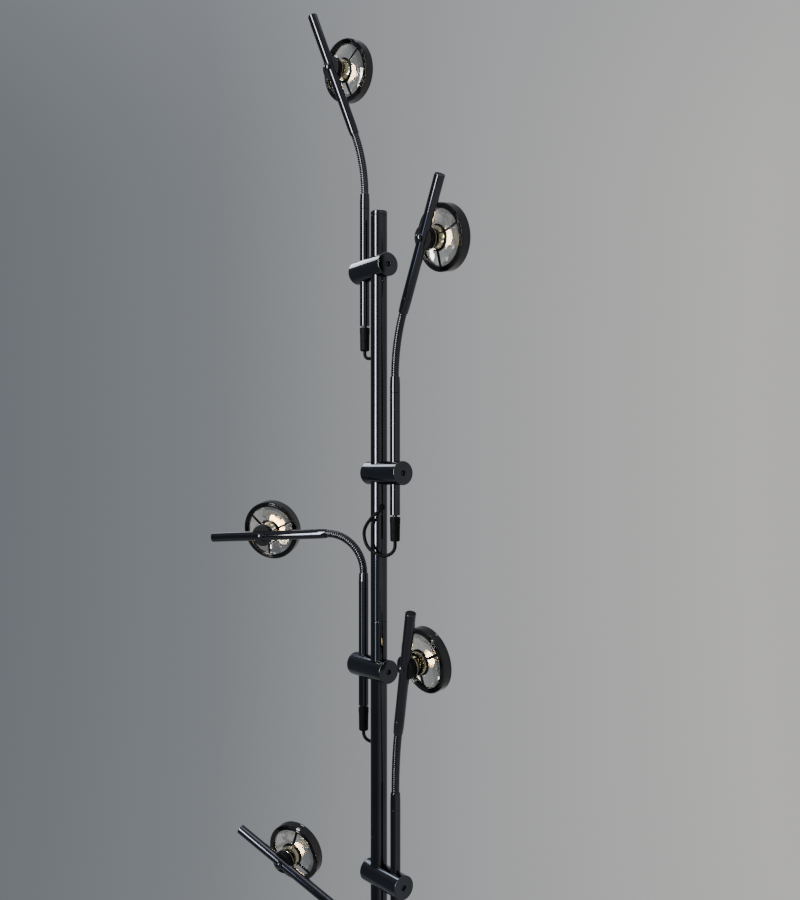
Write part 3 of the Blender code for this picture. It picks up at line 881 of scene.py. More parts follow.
def softened(corners: Sequence[Corner], bends: int = 5) -> Outline:
    """Round the corners of an outline.

    A short straight stretch is kept beside each rounding, so that the flats next to it stay flat in
    the shading.

    Args:
        corners: Radius, height and, where the corner is rounded, its rounding.
        bends: Number of short edges in each rounding.

    Returns:
        The outline with its roundings.
    """
    points: Outline = []
    for index, corner in enumerate(corners):
        here = Vector((corner[0], corner[1]))
        rounding = corner[2] if len(corner) > 2 else 0.0
        if not rounding or index in (0, len(corners) - 1):
            points.append((here.x, here.y))
            continue
        before = Vector(corners[index - 1][:2]) - here
        after = Vector(corners[index + 1][:2]) - here
        half = before.angle(after) / 2
        reach = rounding / math.tan(half)
        room = EDGE_SHARE * min(before.length, after.length)
        if reach > room:
            rounding *= room / reach
            reach = room
        before.normalize()
        after.normalize()
        middle = here + (before + after).normalized() * (rounding / math.sin(half))
        first = here + before * reach - middle
        last = here + after * reach - middle
        hold = min(reach, room - reach) * 0.5
        if hold > LEAST_HOLD:
            points.append(tuple(here + before * (reach + hold)))
        sweep = first.angle_signed(last)
        for bend in range(bends + 1):
            turn = Matrix.Rotation(-sweep * bend / bends, 2)
            points.append(tuple(middle + turn @ first))
        if hold > LEAST_HOLD:
            points.append(tuple(here + after * (reach + hold)))
    return points


def axes(origin: Vector, z_axis: Vector, y_axis: Vector) -> Matrix:
    """Build a placement from its origin and two of its axes.

    Args:
        origin: Where the piece's own origin goes.
        z_axis: Direction of the piece's own Z.
        y_axis: Direction near the piece's own Y.

    Returns:
        The placement.
    """
    z_axis = z_axis.normalized()
    x_axis = y_axis.cross(z_axis).normalized()
    y_axis = z_axis.cross(x_axis)
    turn = Matrix((x_axis, y_axis, z_axis)).transposed().to_4x4()
    return Matrix.Translation(origin) @ turn


@dataclass(frozen=True)
class ArmPlace:
    """Where one arm's pieces are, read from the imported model."""

    number: int
    outward: Vector
    clamp_centre: Vector
    neck_start: Vector
    neck_end: Vector
    bend_direction: Vector
    bend: float
    head_direction: Vector
    head_centre: Vector
    beam: Vector
    plug_bottom: Vector

    @classmethod
    def read(cls, number: int) -> "ArmPlace":
        """Work out an arm's places from the joints and the nodes.

        Args:
            number: The arm's number.

        Returns:
            The arm's places and directions at rest.
        """
        joints = {joint["name"]: joint for joint in frame["joints"]}
        clamp_centre = Vector(joints[f"clamp_swing_{number}"]["pos_m"])
        neck_start = Vector(joints[f"stem_twist_{number}"]["pos_m"])
        hinge = joints[f"neck_bend_{number}"]
        chord = Vector(hinge["pos_m"]) - neck_start
        bend_direction = Vector(hinge["axis"]).cross(UP).normalized()
        bend = 4 * math.atan2(chord.dot(bend_direction), chord.z)
        radius = NECK_LENGTH / bend
        across = bend_direction * radius * (1 - math.cos(bend))
        neck_end = neck_start + across + UP * radius * math.sin(bend)
        head_direction = bend_direction * math.sin(bend) + UP * math.cos(bend)
        head_centre = neck_end + head_direction * (FERRULE_LENGTH + TUBE_LENGTH / 2)
        vertices = frame["nodes"][f"lens_{number}"].data.vertices
        corners = {tuple(round(value, 6) for value in vertex.co) for vertex in vertices}
        lens_middle = sum((Vector(corner) for corner in corners), Vector()) / len(corners)
        outward = Vector((neck_start.x, neck_start.y, 0))
        plug_bottom = Vector((neck_start.x, neck_start.y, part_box(f"plug_{number}")[0].z))
        return cls(
            number=number,
            outward=outward.normalized(),
            clamp_centre=clamp_centre,
            neck_start=neck_start,
            neck_end=neck_end,
            bend_direction=bend_direction,
            bend=bend,
            head_direction=head_direction,
            head_centre=head_centre,
            beam=(lens_middle - head_centre).normalized(),
            plug_bottom=plug_bottom,
        )

    def lead_route(self) -> list[Vector]:
        """Work out the lead's route.

        Returns:
            The route's points in the lamp's frame.
        """
        sideways = UP.cross(self.outward)
        foot = UP * self.plug_bottom.z
        return [
            foot + self.outward * out + sideways * side + UP * up
            for out, side, up in LEAD_ROUTES[LEAD_KINDS[self.number]]
        ]

    def head_axes(self) -> Matrix:
        """Give the head's placement: the beam along Z and the head tube along Y."""
        return axes(self.head_centre, self.beam, self.head_direction)


def hand_over(
    piece: Object, body: str, slot: Slot, *materials: Material, node: str = ""
) -> None:
    """Dress a finished piece and let it ride on its body.

    Args:
        piece: The finished piece.
        body: CAD body that carries it.
        slot: The record's slot that its finish comes from; not used.
        materials: Its materials, one for each material slot of the mesh.
        node: CAD node that it stands for, or nothing.
    """
    Bench.dress(piece, *materials)
    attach(piece, body)
    if node:
        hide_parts(node)
    LOG.info("%s rides on %s: %d faces", piece.name, body, len(piece.data.polygons))


def mount(
    master: Object,
    name: str,
    place: Matrix,
    body: str,
    slot: Slot,
    *materials: Material,
    node: str = "",
) -> None:
    """Copy a master into its place on the lamp and hand the copy over.

    Args:
        master: Piece on the bench.
        name: Name of the copy.
        place: Where the copy goes, in the lamp's frame.
        body: CAD body that carries it.
        slot: The record's slot that its finish comes from.
        materials: Its materials, one for each material slot of the mesh.
        node: CAD node that it stands for, or nothing.
    """
    hand_over(Bench.copy(master, name, place), body, slot, *materials, node=node)


@dataclass
class Stand:
    """Floor pad, base disc, pole and cap."""

    finishes: Finishes
    pad_radius: float = 0.145
    pad_rim: float = 0.016
    dish_slope: float = 0.002
    dish_depth: float = 0.0004
    disc_radius: float = 0.150
    disc_rounding: float = 0.0016
    seat_radius: float = 0.0112
    seat_slope: float = 0.0004
    seat_depth: float = 0.0005
    wall: float = 0.0015
    tube_rounding: float = 0.0005
    spigot_length: float = 0.006
    spigot_gap: float = 0.0003
    cap_rounding: float = 0.0011
    gland_wall: float = 0.0012
    gland_sunk: float = 0.002

    def build(self) -> None:
        """Make the stand's pieces over their nodes and dress the nodes that stay."""
        self.build_pad()
        self.build_disc()
        for name in ("pole_lower", "pole_middle", "pole_upper"):
            self.build_tube(name)
        self.build_cap()
        self.build_gland()
        for name in ("joiner_lower", "joiner_upper", "foot_bolt"):
            Bench.dress(frame["nodes"][name], self.finishes.steel)

    def build_pad(self) -> None:
        """Cut the foam pad, with a soft edge and a shallow dish under its middle."""
        low, high = (corner.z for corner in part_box("floor_pad"))
        radius = self.pad_radius
        rim = radius - self.pad_rim
        outline = softened([
            (0, low + self.dish_depth),
            (rim - self.dish_slope, low + self.dish_depth, 2 * MM),
            (rim, low, 2 * MM),
            (radius, low, 0.5 * MM),
            (radius, high, 0.3 * MM),
            (0, high),
        ])
        piece = Bench.turned("pad_under_base", outline, Step.BASE)
        hand_over(piece, "root", Slot.PAD, self.finishes.foam, node="floor_pad")

    def build_disc(self) -> None:
        """Turn the base disc with a rounded rim and a shallow seat for the pole."""
        low, high = (corner.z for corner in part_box("base_plate"))
        radius = self.disc_radius
        outline = softened([
            (0, low),
            (radius, low, self.disc_rounding),
            (radius, high, self.disc_rounding),
            (self.seat_radius + self.seat_slope, high, 0.3 * MM),
            (self.seat_radius, high - self.seat_depth, 0.2 * MM),
            (0, high - self.seat_depth),
        ])
        piece = Bench.turned("disc_of_base", outline, Step.BASE)
        Bench.remember(piece)
        finish = self.finishes.base_nickel
        hand_over(piece, "root", Slot.BLACK_NICKEL, finish, node="base_plate")

    def build_tube(self, name: str) -> None:
        """Draw one pole tube with rounded ends, open inside.

        Args:
            name: The CAD node that it stands for.
        """
        low, high = (corner.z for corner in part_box(name))
        inner = POLE_RADIUS - self.wall
        outline = softened([
            (inner, (low + high) / 2),
            (inner, low, 0.2 * MM),
            (POLE_RADIUS, low, self.tube_rounding),
            (POLE_RADIUS, high, self.tube_rounding),
            (inner, high, 0.2 * MM),
            (inner, (low + high) / 2),
        ], bends=3)
        piece = Bench.turned(name.replace("pole", "pole_tube"), outline, Step.TUBE)
        hand_over(piece, "root", Slot.BLACK_NICKEL, self.finishes.pole_nickel, node=name)

    def build_cap(self) -> None:
        """Turn the cap that closes the pole, with its spigot inside."""
        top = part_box("pole_cap")[1].z
        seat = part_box("pole_upper")[1].z + self.spigot_gap
        bore = POLE_RADIUS - self.wall - self.spigot_gap
        outline = softened([
            (0, seat - self.spigot_length),
            (bore, seat - self.spigot_length, 0.4 * MM),
            (bore, seat),
            (POLE_RADIUS, seat, self.tube_rounding),
            (POLE_RADIUS, top, self.cap_rounding),
            (0, top),
        ])
        piece = Bench.turned("cap_of_pole", outline, Step.TUBE)
        Bench.remember(piece)
        hand_over(piece, "root", Slot.BLACK_NICKEL, self.finishes.clamp_nickel, node="pole_cap")

    def build_gland(self) -> None:
        """Mould the open rubber gland at the back of the pole's foot."""
        low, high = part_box("cable_gland")
        centre = (low + high) / 2
        outward = Vector((centre.x, centre.y, 0)).normalized()
        radius = (high.z - low.z) / 2
        reach = max((high.x - low.x), (high.y - low.y))
        front = Vector((centre.x, centre.y, 0)).length + reach / 2
        face = POLE_RADIUS + 0.2 * MM
        bore = 0.5 * radius
        rear = face - self.gland_sunk
        outline = softened([
            (bore, rear),
            (bore, front, 0.8 * MM),
            (radius, front, 0.7 * MM),
            (radius, face, 0.2 * MM),
            (bore + self.gland_wall, face),
            (bore + self.gland_wall, rear),
            (bore, rear),
        ])
        master = Bench.turned("gland_master", outline, Step.SMALL)
        Bench.remember(master)
        place = axes(UP * centre.z, outward, UP)
        finish = self.finishes.plug_rubber
        mount(master, "gland_of_pole", place, "root", Slot.RUBBER, finish, node="cable_gland")
        Bench.scrap([master])


@dataclass
class CrossClamp:
    """Turned bar with two cross bores, which grips the pole and a stem, and its two set screws."""

    finishes: Finishes
    radius: float = 0.014
    pole_end: float = 0.0198
    stem_end: float = 0.0160
    bore_spacing: float = 0.032
    edge: float = 0.0009
    clearance: float = 0.0001
    recess_radius: float = 0.0033
    recess_depth: float = 0.0016
    screw_radius: float = 0.0031
    screw_length: float = 0.0030
    screw_sunk: float = 0.0006
    socket_radius: float = 0.00185
    masters: dict[str, Object] = field(default_factory=dict)

    def model(self) -> None:
        """Make the clamp and its screw on the bench, the pole's axis along Y."""
        near = -self.pole_end
        far = self.bore_spacing + self.stem_end
        outline = softened([
            (0, near + self.recess_depth),
            (self.recess_radius, near + self.recess_depth),
            (self.recess_radius, near, 0.25 * MM),
            (self.radius, near, self.edge),
            (self.radius, far, self.edge),
            (self.recess_radius, far, 0.25 * MM),
            (self.recess_radius, far - self.recess_depth),
            (0, far - self.recess_depth),
        ])
        bar = Bench.turned("clamp_master", outline, Step.RING)
        reach = Vector((0, -1, 0)) * TOOL_REACH_SHARE * self.radius
        for centre, radius in ((0.0, POLE_RADIUS), (self.bore_spacing, TUBE_RADIUS)):
            middle = UP * centre
            ends = (middle - reach, middle + reach)
            Bench.cut(bar, Bench.rod("bore", radius + self.clearance, ends, ROUND_SIDES))
        Bench.remember(bar)
        self.masters = {"clamp": bar, "screw": self.model_screw()}

    def model_screw(self) -> Object:
        """Make a set screw with a hexagon socket.

        Returns:
            The screw, its face at the origin and its body along +Z.
        """
        outline = softened([
            (0, self.screw_length),
            (self.screw_radius, self.screw_length, 0.3 * MM),
            (self.screw_radius, 0, 0.3 * MM),
            (0, 0),
        ])
        screw = Bench.turned("screw_master", outline, Step.SMALL)
        ends = (-UP * MM, UP * 0.55 * self.screw_length)
        Bench.cut(screw, Bench.rod("hexagon", self.socket_radius, ends, 6))
        Bench.remember(screw)
        return screw

    def fit(self, arm: ArmPlace) -> None:
        """Copy the clamp and its screws onto an arm.

        Args:
            arm: Where the arm is.
        """
        body = f"clamp_{arm.number}"
        slot = Slot.BLACK_NICKEL
        place = axes(arm.clamp_centre, arm.outward, UP)
        finish = self.finishes.clamp_nickel
        name = f"cross_clamp_{arm.number}"
        mount(self.masters["clamp"], name, place, body, slot, finish, node=body)
        near = self.screw_sunk - self.pole_end
        far = self.bore_spacing + self.stem_end - self.screw_sunk
        for kind, out, inward in (("pole", near, arm.outward), ("stem", far, -arm.outward)):
            name = f"{kind}_screw_{arm.number}"
            place = axes(arm.clamp_centre + arm.outward * out, inward, UP)
            mount(self.masters["screw"], name, place, body, slot, self.finishes.boss_black)


@dataclass(frozen=True)
class FerruleTube:
    """Tube with a ferrule that takes the hose, the same on stems and head tubes."""

    mouth_radius: float = 0.0056
    socket_radius: float = 0.00485
    socket_floor: float = 0.0099
    swell_end: float = 0.010
    seam_width: float = 0.0005
    seam_depth: float = 0.0003

    @property
    def length(self) -> float:
        """Length of the tube with its ferrule."""
        return FERRULE_LENGTH + TUBE_LENGTH

    def outline(self, far_end: Sequence[Corner]) -> Outline:
        """Outline the tube from the bottom of its ferrule's socket, over the mouth, to its end.

        Args:
            far_end: Corners of the far end, after the outside.

        Returns:
            The outline, with the mouth at zero and the far end above it.
        """
        seam = FERRULE_LENGTH
        return softened([
            (0, self.socket_floor),
            (self.socket_radius, self.socket_floor),
            (self.socket_radius, 0, 0.15 * MM),
            (self.mouth_radius, 0, 0.35 * MM),
            (TUBE_RADIUS, self.swell_end, 6 * MM),
            (TUBE_RADIUS, seam - self.seam_width, 0.1 * MM),
            (TUBE_RADIUS - self.seam_depth, seam - self.seam_width / 2),
            (TUBE_RADIUS, seam, 0.1 * MM),
            *far_end,
        ])


@dataclass
class Stem:
    """Stem tube with its ferrule, the plug under it, the lead and the lead's grommet."""

    finishes: Finishes
    tube: FerruleTube = FerruleTube()
    jack_depth: float = 0.006
    plug_radius: float = 0.00615
    plug_tail: float = 0.0056
    plug_length: float = 0.0285
    nose_length: float = 0.007
    pin_radius: float = 0.00265
    pin_play: float = 0.00015
    pin_groove: float = 0.00025
    pin_shown: float = 0.0020
    pin_sunk: float = 0.001
    grommet_radius: float = 0.0040
    grommet_flange: float = 0.0025
    masters: dict[str, Object] = field(default_factory=dict)

    def model(self) -> None:
        """Make the stem's pieces on the bench."""
        end = self.tube.length
        jack = self.pin_radius + self.pin_play
        outline = self.tube.outline([
            (TUBE_RADIUS, end, 0.45 * MM),
            (jack, end, 0.1 * MM),
            (jack, end - self.jack_depth),
            (0, end - self.jack_depth),
        ])
        self.masters = {
            "tube": Bench.turned("stem_master", outline, Step.TUBE),
            "plug": self.model_plug(),
            "pin": self.model_pin(),
            "grommet": self.model_grommet(),
        }
        for master in self.masters.values():
            Bench.remember(master)

    def model_plug(self) -> Object:
        """Mould the plug's grip, with a stepped nose and a collar for the lead.

        Returns:
            The grip, its tail end at the origin.
        """
        top = self.plug_length
        nose = top - self.nose_length
        neck = LEAD_DIAMETER / 2 + 0.1 * MM
        outline = softened([
            (0, 1.2 * MM),
            (neck, 1.2 * MM),
            (neck, 0, 0.1 * MM),
            (self.plug_tail, 0, 2.2 * MM),
            (self.plug_radius - 0.25 * MM, nose - 0.2 * MM, 2 * MM),
            (self.plug_radius, nose, 0.2 * MM),
            (self.plug_radius, top, 0.7 * MM),
            (self.pin_radius, top, 0.1 * MM),
            (self.pin_radius, top - self.pin_sunk),
            (0, top - self.pin_sunk),
        ], bends=7)
        return Bench.turned("plug_master", outline, Step.SMALL)

    def model_pin(self) -> Object:
        """Turn the plug's pin, with a groove where it leaves the grip.

        Returns:
            The pin, its lower end at the origin.
        """
        length = self.pin_shown + self.jack_depth
        outline = softened([
            (0, 0),
            (self.pin_radius, 0, 0.1 * MM),
            (self.pin_radius, 1.9 * MM, 0.1 * MM),
            (self.pin_radius - self.pin_groove, 2.1 * MM, 0.1 * MM),
            (self.pin_radius, 2.4 * MM, 0.1 * MM),
            (self.pin_radius, length, 0.6 * MM),
            (0, length),
        ])
        return Bench.turned("pin_master", outline, Step.SMALL)

    def model_grommet(self) -> Object:
        """Mould the grommet in the pole's wall.

        Returns:
            The grommet, the pole's axis at the origin and the lead's way out along +Z.
        """
        face = POLE_RADIUS - 0.6 * MM
        front = POLE_RADIUS + 0.3 * MM + self.grommet_flange
        hole = LEAD_DIAMETER / 2 + 0.05 * MM
        outline = softened([
            (0, face),
            (self.grommet_radius, face),
            (self.grommet_radius, front, 0.9 * MM),
            (hole, front, 0.3 * MM),
            (hole, front - MM),
            (0, front - MM),
        ], bends=6)
        return Bench.turned("grommet_master", outline, Step.SMALL)

    def fit(self, arm: ArmPlace) -> None:
        """Copy the stem's pieces onto an arm and run its lead.

        Args:
            arm: Where the arm is.
        """
        number = arm.number
        body = f"stem_{number}"
        foot = arm.plug_bottom
        rise = UP * (self.plug_length - self.pin_sunk)
        exit_point = arm.lead_route()[0]
        level = Vector((exit_point.x, exit_point.y, 0)).normalized()
        down = axes(arm.neck_start, -UP, arm.outward)
        through = axes(UP * exit_point.z, level, UP)
        plug = Matrix.Translation(foot)
        pin = Matrix.Translation(foot + rise)
        nickel = self.finishes.tube_nickel
        rubber = self.finishes.plug_rubber
        table = (
            ("tube", "stem_rod", down, body, Slot.BLACK_NICKEL, nickel, f"stem_tube_{number}"),
            ("plug", "plug_grip", plug, body, Slot.RUBBER, rubber, f"plug_{number}"),
            ("pin", "plug_pin", pin, body, Slot.NICKEL, nickel, ""),
            ("grommet", "lead_grommet", through, "root", Slot.RUBBER, rubber, f"grommet_{number}"),
        )
        for master, name, place, carrier, slot, finish, node in table:
            piece = f"{name}_{number}"
            mount(self.masters[master], piece, place, carrier, slot, finish, node=node)
        LeadRun(arm, self.finishes.lead_rubber).build()


@dataclass
class LeadRun:
    """One lead, in two lengths that meet where the clamp carries it.
    """

    arm: ArmPlace
    rubber: Material
    resolution: int = 14
    roundness: int = 7

    def build(self) -> None:
        """Sweep both lengths and dress them."""
        number = self.arm.number
        kind = LEAD_KINDS[number]
        meet = LEAD_MEETS[kind]
        route = self.arm.lead_route()
        exit_point, meeting = route[0], route[meet]
        if kind is LeadKind.LOOPED:
            # The loop goes round the pole, so its exit and meeting points are put on the pole's
            # axis
            exit_point, meeting = UP * exit_point.z, UP * meeting.z
        first = self.sweep(f"lead_at_pole_{number}", route, 0, meet)
        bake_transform(first)
        second = self.sweep(f"lead_at_plug_{number}", route, meet, len(route) - 1)
        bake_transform(second)
        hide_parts(f"lead_{number}")
        for piece in (first, second):
            LOG.info("%s bends with its joint: %d faces", piece.name, len(piece.data.polygons))

    def sweep(self, name: str, route: Sequence[Vector], first: int, last: int) -> Object:
        """Sweep a round lead along part of its route.

        Args:
            name: Name of the piece.
            route: All the route's points.
            first: Number of the first point of this length.
            last: Number of its last point.

        Returns:
            The swept piece as a mesh.
        """
        knots = []
        for index in range(first, last + 1):
            here = route[index]
            behind = here - route[max(index - 1, 0)]
            ahead = route[min(index + 1, len(route) - 1)] - here
            slope = (behind + ahead).normalized()
            knots.append((here, slope, behind.length / 3, ahead.length / 3))
        piece = Bench.bezier(name, knots, self.resolution)
        piece.data.bevel_depth = LEAD_DIAMETER / 2
        piece.data.bevel_resolution = self.roundness
        piece.data.use_fill_caps = True
        bpy.ops.object.convert(target="MESH")
        piece = bpy.context.active_object
        bpy.ops.object.mode_set(mode="EDIT")
        Bench.weld()
        Bench.smooth(piece, degrees=50)
        Bench.remember(piece)
        Bench.dress(piece, self.rubber)
        return piece


@dataclass
class Gooseneck:
    """Ribbed hose: one rib is turned, laid end to end and bent along the arm's arc."""

    # Along one rib, from groove to groove: share of the pitch, and share of the rib's height
    RIB: ClassVar[Outline] = [
        (0.0, 0.0), (0.10, 0.35), (0.22, 0.78), (0.36, 0.97), (0.5, 1.0), (0.64, 0.97),
        (0.78, 0.78), (0.90, 0.35), (1.0, 0.0),
    ]

    finishes: Finishes
    radius: float = 0.00475
    groove_depth: float = 0.0005
    ribs: int = 35
    arc_resolution: int = 64
    masters: dict[str, Object] = field(default_factory=dict)

    @property
    def length(self) -> float:
        """Length of the hose with the ends that sit in the ferrules."""
        return NECK_LENGTH + 2 * NECK_SEAT

    def model(self) -> None:
        """Make the straight hose on the bench, from the origin along +Z."""
        pitch = self.length / self.ribs
        groove = self.radius - self.groove_depth
        outline = [(groove + self.groove_depth * rise, pitch * share) for share, rise in self.RIB]
        hose = Bench.turned("hose_master", outline, Step.SMALL)
        Bench.apply(
            hose,
            "ARRAY",
            count=self.ribs,
            use_relative_offset=False,
            use_constant_offset=True,
            constant_offset_displace=(0, 0, pitch),
            use_merge_vertices=True,
            merge_threshold=0.01 * MM,
        )
        bpy.ops.object.mode_set(mode="EDIT")
        bpy.ops.mesh.select_all(action="DESELECT")
        bpy.ops.mesh.select_mode(type="VERT")
        bpy.ops.mesh.select_non_manifold()
        bpy.ops.mesh.fill_holes(sides=0)
        bpy.ops.mesh.select_all(action="SELECT")
        bpy.ops.mesh.normals_make_consistent(inside=False)
        bpy.ops.object.mode_set(mode="OBJECT")
        Bench.smooth(hose, degrees=70)
        Bench.remember(hose)
        self.masters = {"hose": hose}

    def fit(self, arm: ArmPlace) -> None:
        """Bend a copy of the hose along an arm's arc.

        Args:
            arm: Where the arm is.
        """
        number = arm.number
        hose = Bench.copy(self.masters["hose"], f"ribbed_hose_{number}", Matrix.Identity(4))
        path = self.arc(arm)
        Bench.apply(hose, "CURVE", object=path, deform_axis="POS_Z")
        bpy.data.objects.remove(path)
        Bench.dress(hose, self.finishes.flex_chrome)
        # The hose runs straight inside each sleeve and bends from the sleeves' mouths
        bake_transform(hose)
        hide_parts(f"gooseneck_{number}")
        LOG.info("%s bends with its arm: %d faces", hose.name, len(hose.data.polygons))

    def arc(self, arm: ArmPlace) -> Object:
        """Draw the arm's arc as a curve, with a straight length in each ferrule.

        Args:
            arm: Where the arm is.

        Returns:
            The curve that the hose is bent along.
        """
        radius = NECK_LENGTH / arm.bend
        pull = 4 / 3 * math.tan(arm.bend / 4) * radius
        seat = NECK_SEAT
        ahead = arm.head_direction
        knots = (
            (arm.neck_start - UP * seat, UP, seat / 3, seat / 3),
            (arm.neck_start, UP, seat / 3, pull),
            (arm.neck_end, ahead, pull, seat / 3),
            (arm.neck_end + ahead * seat, ahead, seat / 3, seat / 3),
        )
        return Bench.bezier("arc_of_hose", knots, self.arc_resolution)


@dataclass
class ProjectorHead:
    """Head tube, lamp socket, ring with its spokes, and lens.

    Heights are along the beam, from where it crosses the head tube's axis.
    """

    finishes: Finishes
    tube: FerruleTube = FerruleTube()
    seat: float = 0.0063
    nut_radius: float = 0.0045
    nut_height: float = 0.0032
    nut_skirt: float = 0.0006
    nut_foot: float = 0.0046
    boss_radius: float = 0.0135
    boss_wrap: float = 0.001
    boss_top: float = 0.0072
    boss_line: float = 0.0026
    boss_groove: float = 0.0004
    barrel_radius: float = 0.01325
    barrel_groove: float = 0.0004
    barrel_top: float = 0.023
    well_radius: float = 0.010
    well_depth: float = 0.007
    well_taper: float = 0.0022
    lamp_radius: float = 0.0086
    lamp_rise: float = 0.0090
    hub_rear: float = 0.0204
    hub_front: float = 0.0220
    hub_inner: float = 0.0133
    hub_radius: float = 0.01505
    spoke_width: float = 0.0028
    spoke_thickness: float = 0.0015
    spoke_rise: float = 0.0045
    spoke_start: float = 0.0143
    spoke_sunk: float = 0.0006
    spoke_edge: float = 0.00015
    channel_wall: float = 0.0006
    channel_depth: float = 0.0003
    # How far each arm's spokes are turned about the beam, in degrees
    spoke_turns: tuple[float, ...] = (38, 6, 12, 16, 48)
    ring_radius: float = 0.03775
    ring_inner: float = 0.03375
    ring_rear: float = 0.0238
    ring_front: float = 0.0368
    ring_edge: float = 0.0012
    bezel_line: float = 0.0034
    rear_line: float = 0.0026
    lip_inner: float = 0.03155
    lip_front: float = 0.0282
    lens_radius: float = 0.03345
    lens_rear: float = 0.0285
    lens_shoulder: float = 0.0345
    lens_crown: float = 0.0060
    cap_radius: float = 0.0049
    cap_seat: float = 0.0007
    cap_sunk: float = 0.00025
    masters: dict[str, Object] = field(default_factory=dict)

    def model(self) -> None:
        """Make the head's pieces on the bench, the beam along Z and the head tube along Y."""
        end = self.tube.length
        outline = self.tube.outline([
            (TUBE_RADIUS, end, 0.4 * MM),
            (self.cap_radius, end, 0.15 * MM),
            (self.cap_radius, end - self.cap_seat),
            (0, end - self.cap_seat),
        ])
        cap = softened([
            (0, end - 1.2 * MM),
            (self.cap_radius - 0.15 * MM, end - 1.2 * MM),
            (self.cap_radius - 0.15 * MM, end - 0.35 * MM, 0.3 * MM),
            (0, end - self.cap_sunk),
        ])
        self.masters = {
            "tube": Bench.turned("head_master", outline, Step.TUBE),
            "end_cap": Bench.turned("end_cap_master", cap, Step.SMALL),
            "cap_nut": self.model_nut(),
            "boss": self.model_boss(),
            "barrel": self.model_barrel(),
            "lamp": self.model_lamp(),
            "collar": self.model_collar(),
            "spider": self.model_spider(),
            "ring": self.model_ring(),
            "lens": self.model_lens(),
        }
        for master in self.masters.values():
            Bench.remember(master)

    def model_nut(self) -> Object:
        """Turn the domed nut on the back of the head tube.

        Returns:
            The nut.
        """
        rear = -self.seat - self.nut_height
        reach = self.nut_height - self.nut_skirt
        outline: Outline = [(0, rear)]
        for step in range(1, QUARTER_STEPS + 1):
            turn = math.pi / 2 * step / QUARTER_STEPS
            outline.append((self.nut_radius * math.sin(turn), rear + reach * (1 - math.cos(turn))))
        outline += [(self.nut_radius, -self.nut_foot), (0, -self.nut_foot)]
        return Bench.turned("nut_master", outline, Step.SMALL)

    def model_boss(self) -> Object:
        """Turn the black boss, with a groove round its side, and cut the saddle for the tube.

        Returns:
            The boss.
        """
        radius = self.boss_radius
        inner = radius - self.boss_groove
        line = self.boss_top - self.boss_line
        outline = softened([
            (0, -self.boss_wrap),
            (radius, -self.boss_wrap, 0.6 * MM),
            (radius, line - 0.5 * MM, 0.1 * MM),
            (inner, line - 0.4 * MM, 0.1 * MM),
            (inner, line + 0.4 * MM, 0.1 * MM),
            (radius, line + 0.5 * MM, 0.1 * MM),
            (radius, self.boss_top, 0.5 * MM),
            (0, self.boss_top),
        ])
        boss = Bench.turned("boss_master", outline, Step.RING)
        reach = Vector((0, 1, 0)) * TOOL_REACH_SHARE * radius
        saddle = Bench.rod("saddle", TUBE_RADIUS + 0.1 * MM, (-reach, reach), ROUND_SIDES)
        Bench.cut(boss, saddle)
        return boss

    def model_barrel(self) -> Object:
        """Turn the polished barrel, with a reflector well in its front face.

        Returns:
            The barrel.
        """
        foot = self.boss_top - 0.3 * MM
        floor = self.barrel_top - self.well_depth
        inner = self.barrel_radius - self.barrel_groove
        outline = softened([
            (0, foot),
            (inner, foot),
            (inner, self.boss_top + 0.2 * MM),
            (self.barrel_radius, self.boss_top + 0.5 * MM, 0.2 * MM),
            (self.barrel_radius, self.barrel_top, 0.4 * MM),
            (self.well_radius + 0.4 * MM, self.barrel_top, 0.3 * MM),
            (self.well_radius - self.well_taper, floor, 0.2 * MM),
            (0, floor),
        ])
        return Bench.turned("barrel_master", outline, Step.RING)

    def model_lamp(self) -> Object:
        """Mould the lamp's resin dome, which rises from the well towards the lens.

        Returns:
            The dome.
        """
        floor = self.barrel_top - self.well_depth
        radius = self.lamp_radius
        outline: Outline = [(0, floor - 0.3 * MM), (radius, floor - 0.3 * MM)]
        for step in range(QUARTER_STEPS + 1):
            turn = math.pi / 2 * step / QUARTER_STEPS
            height = floor + 0.2 * MM + self.lamp_rise * math.sin(turn)
            outline.append((radius * math.cos(turn), height))
        return Bench.turned("lamp_master", outline, Step.SMALL)

    def model_collar(self) -> Object:
        """Turn the bright collar that holds the hub on the barrel.

        Returns:
            The collar.
        """
        inner = self.barrel_radius - 0.2 * MM
        outer = self.hub_radius - 0.6 * MM
        rear = self.hub_front + 0.05 * MM
        front = self.barrel_top - 0.1 * MM
        middle = (rear + self.barrel_top) / 2
        outline = softened([
            (inner, middle),
            (inner, rear, 0.1 * MM),
            (outer, rear, 0.2 * MM),
            (outer, front, 0.3 * MM),
            (inner, front, 0.1 * MM),
            (inner, middle),
        ])
        return Bench.turned("collar_master", outline, Step.TUBE)

    def model_spider(self) -> Object:
        """Make the hub ring and its three channelled spokes.

        Returns:
            The hub with its spokes.
        """
        middle = (self.hub_rear + self.hub_front) / 2
        outline = softened([
            (self.hub_inner, middle),
            (self.hub_inner, self.hub_rear, 0.3 * MM),
            (self.hub_radius, self.hub_rear, 0.4 * MM),
            (self.hub_radius, self.hub_front, 0.4 * MM),
            (self.hub_inner, self.hub_front, 0.3 * MM),
            (self.hub_inner, middle),
        ])
        shapes = [Bench.turned("hub_master", outline, Step.TUBE)]
        shapes += [self.model_spoke(math.tau * index / SPOKES) for index in range(SPOKES)]
        return Bench.join("spider_master", shapes)

